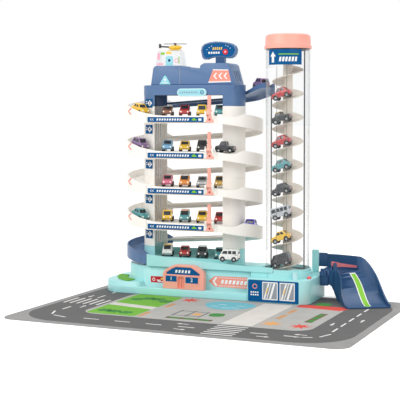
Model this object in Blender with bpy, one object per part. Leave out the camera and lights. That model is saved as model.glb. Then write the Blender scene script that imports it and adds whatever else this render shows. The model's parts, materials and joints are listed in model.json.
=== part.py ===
"""Toy parking garage: five storeys, a spiral car run, an auger lift in a clear tube and a printed mat.

Sizes are in millimetres and are scaled to metres when a mesh is made. +X runs along the front to the
lift, +Y to the back, +Z up. The origin is under the middle of the mat, on the floor.
"""

import math

import bmesh
import bpy
from mathutils import Matrix, Vector

MM = 0.001
GAP = 0.3  # clearance between two pieces that meet
PIN_FIT = 0.3  # radial clearance of a turning pin

# Play mat
MAT_SIZE = (670.0, 465.0, 1.5)
MAT_CORNER = 28.0
MAT_TURN = -2.0

# Storeys and the car run round them
LEVEL_1 = 76.0
LEVEL_PITCH = 75.0
TRACK_LEFT, TRACK_RIGHT, TRACK_Y = -202.0, -42.0, 205.0
TRACK_R = 72.0
CORE_R = 34.5
CORE_WALL = 3.0
LANE_INNER = CORE_R + 0.7
SEAM_UP = 22.0  # height of the seam between two storeys over the lower floor
FLOOR_T = 5.0
WALL_T = 2.4
FRONT_Y = TRACK_Y - TRACK_R
OPEN_LEFT, OPEN_RIGHT = TRACK_LEFT + 2.0, TRACK_RIGHT - 2.0
RIGHT_DROP, BACK_DROP = 35.0, 11.0
LEFT_DROP = LEVEL_PITCH - RIGHT_DROP - BACK_DROP
WALL_UP, WALL_DOWN = 14.0, 13.0
LOW_WALL_UP, LOW_WALL_DOWN = 2.0, 10.0

# Roof
EAVE_Z = LEVEL_1 + 4 * LEVEL_PITCH + 45.5
RIM_Z, CROWN_BASE = EAVE_Z + 21.5, EAVE_Z + 14.5
CROWN_TOP = CROWN_BASE + 48.0
ROOF_FRONT, ROOF_BACK = TRACK_Y - 30.0, TRACK_Y + 30.0

# Cabin and helicopter on the roof
CABIN_X, CABIN_Y = (-201.0, -140.5), (TRACK_Y - 26.5, TRACK_Y + 3.0)
CABIN_Z, CABIN_TOP = CROWN_TOP + GAP, CROWN_TOP + 33.0
CRAFT_X, CRAFT_Y, CRAFT_Z = -161.0, TRACK_Y - 12.0, CABIN_TOP + 6.6
ROTOR_Z = CRAFT_Z + 7.6

# Bases
BASE_Z = MAT_SIZE[2] + GAP
APRON_Z, PLATEAU_Z, TIER_Z, MODULE_Z = 17.0, 27.0, 60.0, 50.0
BASE_LEFT, BASE_SPLIT, BASE_RIGHT = -303.0, 29.2, 158.0
BASE_FRONT, BASE_BACK, MODULE_BACK = FRONT_Y - 16.0, TRACK_Y + 65.0, TRACK_Y + 50.0
TIER_R = 65.0
SHELL = 3.5

# Lift
LIFT_X, LIFT_Y = 95.0, TRACK_Y - 25.0
TUBE_R, TUBE_T = 45.5, 1.5
TUBE_TOP = 518.0
CAP_TOP = TUBE_TOP + 25.5
CAP_SKIRT = TUBE_TOP - 4.0
SIGN_Z = (TUBE_TOP - 37.5, TUBE_TOP - 6.5)
PITCH = 48.5
FLIGHT_R, FLIGHT_T, SHAFT_R, JOURNAL_R = 32.0, 2.4, 10.0, 4.0
FLIGHT_FRONT_Z = 70.5  # top of the first flight at the front of the tube
ROD_AT, ROD_R = 35.3, 1.5
AUGER_SIDES = 16
PAD_R = 52.0
GEAR_Z, GEAR_T = 38.5, 5.0
PLATE_Z = (33.5, 36.5)
GEAR_TEETH, PINION_TEETH, TOOTH_MODULE = 24, 8, 1.9
MOTOR_ANGLE = math.radians(135)
LANE_END_Z = 62.6
CELL_Y = BASE_FRONT + SHELL  # front of the battery tray
BUTTON_X, BUTTON_Y, BUTTON_R = 127.0, BASE_FRONT + 11.5, 5.2
TRAY = (50.0, 112.0)  # ends of the battery tray
CHUTE_Z, TOP_RUN_Z = EAVE_Z + 16.5, EAVE_Z - 5.5
CHUTE_START = (LIFT_X - 45.0, LIFT_Y + 10.0)

# Lift cars
CAR_WIDTH = 21.0
WHEEL_AT, WHEEL_R = 11.5, 4.2
CAR_OFFSET = (-2.0, -25.0)
CAR_TILT = math.atan(PITCH / (2 * math.pi * 25.0))
CAR_RAISE = 1.9

# Exit ramp
RAMP_START, RAMP_RADIUS, RAMP_TURN = (BASE_RIGHT + 0.4, LIFT_Y + 52.0), 101.0, math.radians(60)
RAMP_STRAIGHT, RAMP_TOP_Z = 61.0, 61.0
SLOPE_FROM = math.radians(37)

# Exit gate
GATE_AT, GATE_HEADING, GATE_REACH = (BASE_RIGHT + 30.0, LIFT_Y + 22.0), 43.5, 52.0
GATE_LIFT, GATE_DROOP = 13.5, 8.0

# Barriers
BOOM_X, BOOM_Y, BOOM_LIFT = -57.5, FRONT_Y - 4.2, 6.0

FINISHES = {
    "white": ((0.90, 0.89, 0.87, 1), 0.35, 1.0),
    "cyan": ((0.58, 0.84, 0.86, 1), 0.35, 1.0),
    "blue": ((0.09, 0.19, 0.42, 1), 0.38, 1.0),
    "sign_blue": ((0.02, 0.12, 0.36, 1), 0.30, 1.0),
    "coral": ((0.90, 0.42, 0.36, 1), 0.35, 1.0),
    "green": ((0.22, 0.50, 0.06, 1), 0.60, 1.0),
    "clear": ((0.93, 0.95, 0.96, 1), 0.05, 0.25),
    "beige": ((0.78, 0.74, 0.68, 1), 0.40, 1.0),
    "grey": ((0.30, 0.30, 0.31, 1), 0.45, 1.0),
    "steel": ((0.60, 0.60, 0.62, 1), 0.25, 1.0),
    "mat": ((0.34, 0.35, 0.36, 1), 0.80, 1.0),
    "yellow": ((0.90, 0.60, 0.05, 1), 0.35, 1.0),
    "red": ((0.70, 0.04, 0.04, 1), 0.30, 1.0),
    "black": ((0.03, 0.03, 0.035, 1), 0.35, 1.0),
    "teal": ((0.20, 0.52, 0.55, 1), 0.35, 1.0),
    "silver": ((0.62, 0.63, 0.65, 1), 0.30, 1.0),
}


# Mesh tools

def level(number):
    return LEVEL_1 + (number - 1) * LEVEL_PITCH


def material(finish):
    """The Principled material of one finish, made once."""
    found = bpy.data.materials.get(finish)
    if found:
        return found
    colour, roughness, alpha = FINISHES[finish]
    made = bpy.data.materials.new(finish)
    made.use_nodes = True
    shader = made.node_tree.nodes["Principled BSDF"]
    shader.inputs["Base Color"].default_value = colour
    shader.inputs["Roughness"].default_value = roughness
    shader.inputs["Alpha"].default_value = alpha
    made.diffuse_color = (*colour[:3], alpha)
    return made


def solid(name, bm, finish="white"):
    """An object from a bmesh in millimetres, with its normals facing out."""
    bmesh.ops.remove_doubles(bm, verts=bm.verts, dist=1e-4)
    bmesh.ops.recalc_face_normals(bm, faces=bm.faces)
    bmesh.ops.scale(bm, vec=(MM, MM, MM), verts=bm.verts)
    mesh = bpy.data.meshes.new(name)
    bm.to_mesh(mesh)
    bm.free()
    mesh.materials.append(material(finish))
    made = bpy.data.objects.new(name, mesh)
    bpy.context.scene.collection.objects.link(made)
    return made


def combine(target, other, operation):
    """One exact boolean, applied; the second object is used up."""
    step = target.modifiers.new("step", "BOOLEAN")
    step.object, step.operation, step.solver = other, operation, "EXACT"
    graph = bpy.context.evaluated_depsgraph_get()
    result = bpy.data.meshes.new_from_object(target.evaluated_get(graph))
    target.modifiers.remove(step)
    old, target.data = target.data, result
    result.name = target.name
    bpy.data.meshes.remove(old)
    spent = other.data
    bpy.data.objects.remove(other)
    bpy.data.meshes.remove(spent)
    return target


def add(target, *others):
    for other in others:
        combine(target, other, "UNION")
    return target


def cut(target, *others):
    for other in others:
        combine(target, other, "DIFFERENCE")
    return target


def rounded(obj, width, angle=35, segments=2):
    """Rounds the sharp edges of a convex-sided solid."""
    bm = bmesh.new()
    bm.from_mesh(obj.data)
    sharp = [e for e in bm.edges if len(e.link_faces) == 2 and e.calc_face_angle() > math.radians(angle)]
    bmesh.ops.bevel(
        bm, geom=sharp, offset=width * MM, segments=segments, profile=0.6, affect="EDGES", clamp_overlap=True)
    bm.to_mesh(obj.data)
    bm.free()
    return obj


def loft(name, rings, finish="white"):
    """A closed solid through rings of equal length, capped at both ends."""
    bm = bmesh.new()
    rows = [[bm.verts.new(p) for p in ring] for ring in rings]
    count = len(rows[0])
    for low, high in zip(rows, rows[1:]):
        for i in range(count):
            j = (i + 1) % count
            bm.faces.new((low[i], low[j], high[j], high[i]))
    bm.faces.new(rows[0][::-1])
    bm.faces.new(rows[-1])
    return solid(name, bm, finish)


def prism(name, outline, z0, z1, finish="white"):
    return loft(name, [[(x, y, z) for x, y in outline] for z in (z0, z1)], finish)


def prism_y(name, outline, y0, y1, finish="white"):
    """An outline in X and Z, carried from y0 to y1."""
    return loft(name, [[(x, y, z) for x, z in outline] for y in (y0, y1)], finish)


def box(name, x0, x1, y0, y1, z0, z1, finish="white"):
    return prism(name, [(x0, y0), (x1, y0), (x1, y1), (x0, y1)], z0, z1, finish)


def arc(cx, cy, radius, start, end, steps):
    """Points of an arc, angles in degrees."""
    return [
        (cx + radius * math.cos(math.radians(start + (end - start) * i / steps)),
         cy + radius * math.sin(math.radians(start + (end - start) * i / steps)))
        for i in range(steps + 1)
    ]


def stadium(x0, x1, cy, radius, steps=10):
    """Half circles round x0 and x1, joined."""
    return arc(x1, cy, radius, -90, 90, steps) + arc(x0, cy, radius, 90, 270, steps)


def rounded_rect(x0, x1, y0, y1, radii, steps=6):
    """A rectangle whose corners, from front left counter-clockwise, have these radii."""
    corners = [(x0, y0, 180), (x1, y0, 270), (x1, y1, 0), (x0, y1, 90)]
    points = []
    for (x, y, start), radius in zip(corners, radii):
        if radius <= 0:
            points.append((x, y))
            continue
        cx = x + (radius if x == x0 else -radius)
        cy = y + (radius if y == y0 else -radius)
        points += arc(cx, cy, radius, start, start + 90, steps)
    return points


def tube(name, cx, cy, outer, inner, z0, z1, steps=32, finish="white"):
    """A ring with straight walls."""
    return lathe(name, cx, cy, [(outer, z0), (outer, z1), (inner, z1), (inner, z0)], steps, finish, True)


def lathe(name, cx, cy, profile, steps=32, finish="white", ring=False):
    """A profile of radius and height turned about a vertical axis; a ring's profile is a closed loop."""
    bm = bmesh.new()
    rows = []
    for radius, z in profile:
        if radius < 1e-6:
            rows.append([bm.verts.new((cx, cy, z))])
            continue
        rows.append([
            bm.verts.new((cx + radius * math.cos(2 * math.pi * i / steps),
                          cy + radius * math.sin(2 * math.pi * i / steps), z))
            for i in range(steps)
        ])
    pairs = list(zip(rows, rows[1:])) + ([(rows[-1], rows[0])] if ring else [])
    for low, high in pairs:
        for i in range(steps):
            j = (i + 1) % steps
            corners = [low[i % len(low)], low[j % len(low)], high[j % len(high)], high[i % len(high)]]
            bm.faces.new(list(dict.fromkeys(corners)))
    if not ring:
        for row in (rows[0], rows[-1]):
            if len(row) > 1:
                bm.faces.new(row)
    return solid(name, bm, finish)


def cylinder(name, start, end, radius, steps=16, finish="white"):
    """A round bar between two points."""
    start, end = Vector(start), Vector(end)
    turn = (end - start).to_track_quat("Z", "Y").to_matrix()
    angles = [2 * math.pi * i / steps for i in range(steps)]
    rim = [turn @ Vector((radius * math.cos(a), radius * math.sin(a), 0)) for a in angles]
    return loft(name, [[at + point for point in rim] for at in (start, end)], finish)


def copied(source, name, dz=0.0, finish=None):
    """A copy of a solid, moved up by dz."""
    made = source.copy()
    made.data = source.data.copy()
    made.name = made.data.name = name
    made.data.transform(Matrix.Translation((0, 0, dz * MM)))
    if finish:
        made.data.materials.clear()
        made.data.materials.append(material(finish))
    bpy.context.scene.collection.objects.link(made)
    return made


def moved(obj, matrix):
    obj.data.transform(matrix)
    return obj


# The mat

def build_mat():
    width, depth, thick = MAT_SIZE
    outline = rounded_rect(-width / 2, width / 2, -depth / 2, depth / 2, [MAT_CORNER] * 4, 8)
    moved(prism("play_mat", outline, 0.0, thick, "mat"), Matrix.Rotation(math.radians(MAT_TURN), 4, "Z"))


# Bases

def build_garage_base():
    corners = [46.0, 0.0, 0.0, 46.0]
    outline = rounded_rect(BASE_LEFT, BASE_SPLIT - GAP, BASE_FRONT, BASE_BACK, corners)
    base = rounded(prism("garage_base", outline, BASE_Z, APRON_Z, "cyan"), 1.6)
    block = rounded_rect(
        BASE_LEFT + 0.5, TRACK_LEFT - 9.0, BASE_FRONT + 0.5, BASE_BACK - 0.5, [45.5, 9.0, 0.0, 45.5])
    tier = arc(TRACK_LEFT, TRACK_Y, TIER_R, 90, 270, 18) + [
        (BASE_SPLIT - GAP - 0.4, TRACK_Y - TIER_R), (BASE_SPLIT - GAP - 0.4, TRACK_Y + TIER_R - 0.6)]
    wall = BASE_SPLIT - GAP - SHELL
    hollow = arc(TRACK_LEFT, TRACK_Y, TIER_R - SHELL, 90, 270, 18) + [
        (wall, TRACK_Y - TIER_R + SHELL), (wall, TRACK_Y + TIER_R - SHELL)]
    add(base, rounded(prism("block", block, BASE_Z + 4, PLATEAU_Z), 1.6, segments=1),
        rounded(prism("tier", tier, BASE_Z + 6, TIER_Z), 1.2, segments=1))
    inner = rounded_rect(BASE_LEFT + SHELL, wall, BASE_FRONT + SHELL, BASE_BACK - SHELL, [43.0, 0, 0, 43.0])
    cut(base, prism("hollow", inner, 0.0, APRON_Z - SHELL), prism("hollow", hollow, 0.5, TIER_Z - SHELL))


def build_planter():
    lawn = arc(TRACK_LEFT, TRACK_Y, 93.0, 184, 246, 8) + arc(TRACK_LEFT, TRACK_Y, 70.0, 244, 187, 8)
    rounded(prism("planter_lawn", lawn, PLATEAU_Z + GAP, PLATEAU_Z + 2.4, "green"), 0.6, segments=1)


def build_service_hall():
    front = BASE_FRONT + 1.5
    outline = [(-158, APRON_Z + GAP), (-66, APRON_Z + GAP), (-66, 52), (-69, 57), (-85, 66), (-92, 68),
               (-128, 68), (-136, 66), (-152, 57), (-158, 50)]
    hall = rounded(prism_y("service_hall", outline, front, FRONT_Y - GAP, "coral"), 0.8, segments=1)
    door = [(-124.5, 19), (-109, 19), (-109, 41), (-112, 44), (-121.5, 44), (-124.5, 41)]
    sign = [(-151, 47), (-74, 47), (-74, 51.5), (-87, 60), (-94, 64), (-128, 64), (-136, 61), (-151, 52)]
    cut(hall, prism_y("door", door, front - 8, front + 4.0),
        box("window", -150, -131, front - 8, front + 2.0, 33, 44),
        box("window", -99, -79, front - 8, front + 2.0, 32, 43),
        prism_y("sign", sign, front - 8, front + 0.8))


def build_lift_base():
    outline = rounded_rect(BASE_SPLIT + GAP, BASE_RIGHT, BASE_FRONT, MODULE_BACK, [0, 20.0, 20.0, 0])
    base = rounded(prism("lift_base", outline, BASE_Z, MODULE_Z, "cyan"), 1.6)
    collar, collar_top = TUBE_R + 4.1, TIER_Z + 7.0
    pad = [(PAD_R, MODULE_Z - 3), (PAD_R, TIER_Z), (collar, TIER_Z), (collar, collar_top),
           (TUBE_R + 0.5, collar_top), (TUBE_R + 0.5, TIER_Z)]
    lane_y = FRONT_Y - 0.4, LIFT_Y - 7.5
    lane_way = box("lane_way", LIFT_X - 65, LIFT_X - 15, *lane_y, TIER_Z - 0.05, TIER_Z + 15)
    add(base, cut(lathe("pad", LIFT_X, LIFT_Y, pad, 36), lane_way),
        box("lane_rest", BASE_SPLIT + GAP + 1, LIFT_X - 29, lane_y[0] + 3.4, lane_y[1] - 0.5,
            MODULE_Z - SHELL, TIER_Z - 0.05))
    post = box("post", 128, 142, MODULE_BACK - 8.5, MODULE_BACK - 0.5, MODULE_Z - 2, MODULE_Z + 47)
    add(base, rounded(post, 1.5))
    hollow = rounded_rect(
        BASE_SPLIT + GAP + SHELL, BASE_RIGHT - SHELL, BASE_FRONT + SHELL, MODULE_BACK - SHELL, [0, 17, 17, 0])
    cut(base, prism("hollow", hollow, 0.0, MODULE_Z - SHELL),
        cylinder("shaft_hole", (LIFT_X, LIFT_Y, 40), (LIFT_X, LIFT_Y, 70), JOURNAL_R + PIN_FIT, 16),
        cylinder("button_hole", (BUTTON_X, BUTTON_Y, 40), (BUTTON_X, BUTTON_Y, 60), BUTTON_R + PIN_FIT, 18))
    left, right = TRAY
    tray = cut(box("tray", left, right, CELL_Y - 2.5, CELL_Y + 31.0, 2.2, 46.9),
               box("cells", left + 2, right - 2, CELL_Y, CELL_Y + 29.0, 0, 45))
    add(base, tray)
    for dx, dy in ((-32, -16), (33, -20), (33, 38), (-32, 42)):
        x, y = LIFT_X + dx, LIFT_Y + dy
        add(base, cylinder("pillar", (x, y, PLATE_Z[1] + GAP), (x, y, 47.5), 3.2, 12))


def build_power():
    """Battery box, motor and gears under the lift."""
    left, right = TRAY
    box("battery_cover", left + 2 + GAP, right - 2 - GAP, CELL_Y + GAP, CELL_Y + 29.0 - GAP, 2.0, 4.4, "cyan")
    for index, y in enumerate((CELL_Y + 7.2, CELL_Y + 21.8)):
        side = [(7.0, 0), (7.0, 49), (2.6, 49), (2.6, 50.5)]
        cell = lathe(f"battery_{index + 1}", 0, 0, side, 16, "silver")
        seat = Matrix.Translation(Vector((left + 5.5, y, 4.4 + GAP + 7.1)) * MM)
        moved(cell, seat @ Matrix.Rotation(math.pi / 2, 4, "Y"))
    outline = rounded_rect(LIFT_X - 39, LIFT_X + 40, LIFT_Y - 26, LIFT_Y + 49, [4] * 4, 3)
    plate = prism("gear_plate", outline, *PLATE_Z, "grey")
    distance = TOOTH_MODULE * (GEAR_TEETH + PINION_TEETH) / 2
    mx, my = LIFT_X + distance * math.cos(MOTOR_ANGLE), LIFT_Y + distance * math.sin(MOTOR_ANGLE)
    cut(plate, cylinder("bearing", (LIFT_X, LIFT_Y, 30), (LIFT_X, LIFT_Y, 40), JOURNAL_R + PIN_FIT, 16),
        cylinder("bearing", (mx, my, 30), (mx, my, 40), 2.4 + PIN_FIT, 12))
    lathe("lift_motor", mx, my, [(4, 9), (4, 11), (10, 11), (10, 31.8), (8, PLATE_Z[0] - GAP)], 18, "silver")
    pinion = gear("motor_pinion", mx, my, PINION_TEETH, math.pi / PINION_TEETH)
    add(pinion, cylinder("stem", (mx, my, PLATE_Z[0] + 0.1), (mx, my, GEAR_Z + 1), 2.4, 12))
    wheel = gear("auger_gear", LIFT_X, LIFT_Y, GEAR_TEETH, 0.0)
    cut(wheel, cylinder("bore", (LIFT_X, LIFT_Y, 30), (LIFT_X, LIFT_Y, 60), JOURNAL_R + GAP, 16))


def gear(name, cx, cy, teeth, phase):
    """A spur gear with flat-sided teeth, its first tooth at the phase angle."""
    radius = TOOTH_MODULE * teeth / 2
    points = []
    for i in range(teeth):
        for share, reach in ((-0.25, -1.1), (-0.11, 0.8), (0.11, 0.8), (0.25, -1.1)):
            angle = phase + 2 * math.pi * (i + share) / teeth
            r = radius + reach * TOOTH_MODULE
            points.append((cx + r * math.cos(angle), cy + r * math.sin(angle)))
    return prism(name, points, GEAR_Z, GEAR_Z + GEAR_T, "beige")


# Storeys

def end_walls(name, z0, z1, finish):
    """The two C-shaped end walls of the core."""
    walls = []
    for x, start, edge in ((TRACK_LEFT, 90, OPEN_LEFT), (TRACK_RIGHT, -90, OPEN_RIGHT)):
        outer = arc(x, TRACK_Y, CORE_R, start, start + 180, 10)
        inner = arc(x, TRACK_Y, CORE_R - CORE_WALL, start + 180, start, 10)
        loop = [(edge, outer[0][1])] + outer + [(edge, outer[-1][1])]
        loop += [(edge, inner[0][1])] + inner + [(edge, inner[-1][1])]
        wall = prism(name, loop, z0, z1, finish)
        for along in (-45, 45):
            middle = start + 90 + along
            rx, ry = arc(x, TRACK_Y, CORE_R - CORE_WALL + 0.4, middle, middle, 1)[0]
            add(wall, cylinder("rib", (rx, ry, z0 + 0.5), (rx, ry, z1 - 0.5), 1.6, 6))
        walls.append(wall)
    return walls


def fascia_outline(z, right_end):
    """The front edge of a deck seen from the front, its top falling away from the left curve."""
    left = OPEN_LEFT - 1.6
    return [(left, z - 14), (right_end, z - 14), (right_end, z + LOW_WALL_UP), (left + 36.6, z + LOW_WALL_UP),
            (left + 16.6, z + 3.6), (left, z + 7)]


def build_storeys():
    z = level(2)
    left, right = end_walls("storey_2", z + SEAM_UP - LEVEL_PITCH, z + SEAM_UP - GAP, "white")
    floor = prism("floor", stadium(TRACK_LEFT, TRACK_RIGHT, TRACK_Y, CORE_R - 1.2), z - FLOOR_T, z)
    start, end = OPEN_LEFT - 1.6, OPEN_RIGHT + 1.6
    add(floor, box("lane", start, end, FRONT_Y + 1, TRACK_Y - CORE_R + 4, z - FLOOR_T, z),
        prism_y("fascia", fascia_outline(z, end), FRONT_Y, FRONT_Y + 3),
        box("sign_pad", OPEN_LEFT + 1, OPEN_RIGHT - 27, FRONT_Y - 0.9, FRONT_Y + 1, z - 11.6, z - 0.6))
    storey = add(left, floor, right)
    add_boom_bracket(storey, z)
    for number in range(3, 6):
        copied(storey, f"storey_{number}", (number - 2) * LEVEL_PITCH)


def add_boom_bracket(storey, z):
    """Two cheeks and a pin outside the fascia, which carry a barrier."""
    for x0 in (BOOM_X - 9.5, BOOM_X + 5.7):
        top = z + BOOM_LIFT + 3.6
        cheek = [(BOOM_Y - 3.6, z + 3), (BOOM_Y - 3.6, top - 1.6), (BOOM_Y - 2, top), (BOOM_Y + 2, top),
                 (FRONT_Y + 0.4, z + 4), (FRONT_Y + 1, z + 1), (FRONT_Y + 1, z - 9)]
        add(storey, loft("cheek", [[(x, y, h) for y, h in cheek] for x in (x0, x0 + 3.8)]))
    axis = z + BOOM_LIFT
    add(storey, cylinder("pin", (BOOM_X - 8, BOOM_Y, axis), (BOOM_X + 8, BOOM_Y, axis), 1.5, 8))


def build_booms():
    """Barrier arms that stand upright and fold across the front lane."""
    z = level(2) + BOOM_LIFT
    half = [(5.2, -2.5), (5.2, 4), (3.4, 12), (3.4, 36.5), (2, 38)]
    arm = [(BOOM_X + x, z + h) for x, h in half] + [(BOOM_X - x, z + h) for x, h in reversed(half)]
    boom = prism_y("boom_2", arm, BOOM_Y - 1.7, BOOM_Y + 1.7, "coral")
    add(boom, cylinder("hub", (BOOM_X - 5.2, BOOM_Y, z), (BOOM_X + 5.2, BOOM_Y, z), 3.4, 12))
    cut(boom, cylinder("bore", (BOOM_X - 7, BOOM_Y, z), (BOOM_X + 7, BOOM_Y, z), 1.5 + PIN_FIT, 10))
    set_origin(boom, (BOOM_X, BOOM_Y, z))
    for number in range(3, 6):
        dz = (number - 2) * LEVEL_PITCH
        other = boom.copy()
        other.data = boom.data.copy()
        other.name = other.data.name = f"boom_{number}"
        other.location.z += dz * MM
        bpy.context.scene.collection.objects.link(other)


def set_origin(obj, point):
    """Puts an object's origin on its joint's axis without moving its shape."""
    offset = Vector(point) * MM
    obj.data.transform(Matrix.Translation(-offset))
    obj.location = offset


def build_ground_deck():
    """Level 1: a parking floor and a lane that falls to the lift."""
    z = level(1)
    left, right = end_walls("ground_deck", TIER_Z + GAP, z + SEAM_UP - GAP, "cyan")
    foot, start, lane_right, bend = TIER_Z + GAP, OPEN_LEFT - 1.6, LIFT_X, LIFT_X - 43
    at_end = z + (OPEN_RIGHT - OPEN_LEFT) * (LANE_END_Z - z) / (bend - OPEN_LEFT)
    slope = [(start, foot), (lane_right, foot), (lane_right, LANE_END_Z), (bend, LANE_END_Z), (start, z)]
    lane = prism_y("lane", slope, FRONT_Y + 1, TRACK_Y - CORE_R + 1)
    edge = [(start, foot), (lane_right, foot), (lane_right, 70), (20, 71), (OPEN_RIGHT, at_end + 6.5),
            (start + 31.6, z + 6), (start, z + 9)]
    lip = prism_y("lip", edge, FRONT_Y, FRONT_Y + 3)
    inner = box("inner_lip", -12, 60, TRACK_Y - CORE_R - 3.2, TRACK_Y - CORE_R + 0.4, foot, 68)
    floor = prism("floor", stadium(TRACK_LEFT, TRACK_RIGHT, TRACK_Y, CORE_R - 1.2), foot, z)
    back = box("back", OPEN_LEFT - 1, OPEN_RIGHT + 1, TRACK_Y + CORE_R - 3, TRACK_Y + CORE_R, foot, z + 13)
    deck = add(left, floor, lane, lip, inner, back, right)
    cut(deck, cylinder("tube_way", (LIFT_X, LIFT_Y, 50), (LIFT_X, LIFT_Y, 90), PAD_R - 2.2, 36))
    tongue = box("tongue", LIFT_X - 51, LIFT_X - 3, FRONT_Y + 4.5, TRACK_Y - CORE_R - 2.6, foot, LANE_END_Z)
    add(deck, cut(tongue, cylinder("tube_way", (LIFT_X, LIFT_Y, 50), (LIFT_X, LIFT_Y, 90), TUBE_R + 0.7, 36)))


# The car run

def track(name, stations, finish="white"):
    """A channel along stations of centre, sideways direction, half width, floor, wall heights and inner lip.

    Each station is (point, side, inner, outer, floor, up, down, lip). Inner and outer are along side.
    """
    rings = []
    for (px, py), (sx, sy), inner, outer, floor, up, down, lip in stations:
        wall = outer - WALL_T
        section = [(outer, -down), (outer, up), (wall, up), (wall, 0), (inner + 2, 0), (inner + 2, lip),
                   (inner, lip), (inner, -3), (wall, -3), (wall, -down)]
        rings.append([(px + sx * r, py + sy * r, floor + h) for r, h in section])
    return loft(name, rings, finish)


def smooth(share):
    share = min(1.0, max(0.0, share))
    return share * share * (3 - 2 * share)


def curve_stations(x, start, end, z_start, z_end, up_at, steps=12):
    """Stations round the end of the core; angles in degrees."""
    stations = []
    for i in range(steps + 1):
        share = i / steps
        angle = start + (end - start) * share
        side = (math.cos(math.radians(angle)), math.sin(math.radians(angle)))
        floor = z_start + (z_end - z_start) * share
        stations.append(((x, TRACK_Y), side, LANE_INNER, TRACK_R, floor, up_at(angle), WALL_DOWN, 1.5))
    return stations


def build_curves():
    trim = 0.35  # degrees kept free at each end
    rise = WALL_UP - LOW_WALL_UP

    def left_up(angle):
        return LOW_WALL_UP + rise * smooth((angle - 90) / 8) - (WALL_UP - 7) * smooth((angle - 225) / 45)

    def right_up(angle):
        return LOW_WALL_UP + rise * smooth((angle + 64) / 14)

    z = level(2)
    left = track("left_curve_2", curve_stations(TRACK_LEFT, 90 + trim, 270 - trim, z + LEFT_DROP, z, left_up))
    right = track(
        "right_curve_2", curve_stations(TRACK_RIGHT, -90 + trim, 90 - trim, z, z - RIGHT_DROP, right_up))
    start, end = TRACK_RIGHT - 0.1, TRACK_LEFT + 0.1
    floors = {start: z - RIGHT_DROP, end: z - RIGHT_DROP - BACK_DROP}
    stations = [((x, TRACK_Y), (0, 1), LANE_INNER, TRACK_R, floor, LOW_WALL_UP, LOW_WALL_DOWN, 1.5)
                for x, floor in floors.items()]
    run = track("back_run_2", stations)
    for number in range(3, 6):
        dz = (number - 2) * LEVEL_PITCH
        copied(left, f"left_curve_{number}", dz)
        copied(right, f"right_curve_{number}", dz)
        copied(run, f"back_run_{number}", dz)
    copied(left, "left_curve_1", -LEVEL_PITCH, "blue")
    copied(run, "back_run_top", TOP_RUN_Z - (z - RIGHT_DROP), "blue")


def build_chute():
    """From the tube's upper opening round the right end of the core to the top run."""
    radius = (LANE_INNER + TRACK_R) / 2
    half = (TRACK_R - LANE_INNER) / 2
    dx, dy = CHUTE_START[0] - TRACK_RIGHT, CHUTE_START[1] - TRACK_Y
    distance = math.hypot(dx, dy)
    tangent = math.atan2(dy, dx) + math.acos(radius / distance)
    straight = math.sqrt(distance**2 - radius**2)
    bend = radius * (math.pi / 2 - tangent)
    back = 22.0
    total = straight + bend
    stations = []
    side = (math.cos(tangent), math.sin(tangent))
    heading = (-side[1], side[0])
    tx, ty = TRACK_RIGHT + radius * side[0], TRACK_Y + radius * side[1]

    def station(centre, along, share):
        floor = CHUTE_Z + (TOP_RUN_Z - CHUTE_Z) * share
        return (centre, along, -half, half, floor, 9 - 3 * share, 16 - 5 * share, 7 - 5 * share)

    for i in range(7):
        run = -back + (straight + back) * i / 6
        centre = (tx - heading[0] * (straight - run), ty - heading[1] * (straight - run))
        stations.append(station(centre, side, max(0.0, run / total)))
    for i in range(1, 9):
        angle = tangent + (math.pi / 2 - 0.006 - tangent) * i / 8
        at = (math.cos(angle), math.sin(angle))
        centre = (TRACK_RIGHT + radius * at[0], TRACK_Y + radius * at[1])
        stations.append(station(centre, at, (straight + bend * i / 8) / total))
    chute = track("chute", stations, "blue")
    low, high = (LIFT_X, LIFT_Y, CHUTE_Z - 38), (LIFT_X, LIFT_Y, CHUTE_Z + 42)
    cut(chute, cylinder("tube_way", low, high, TUBE_R + 0.5, 36))


# Roof

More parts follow.
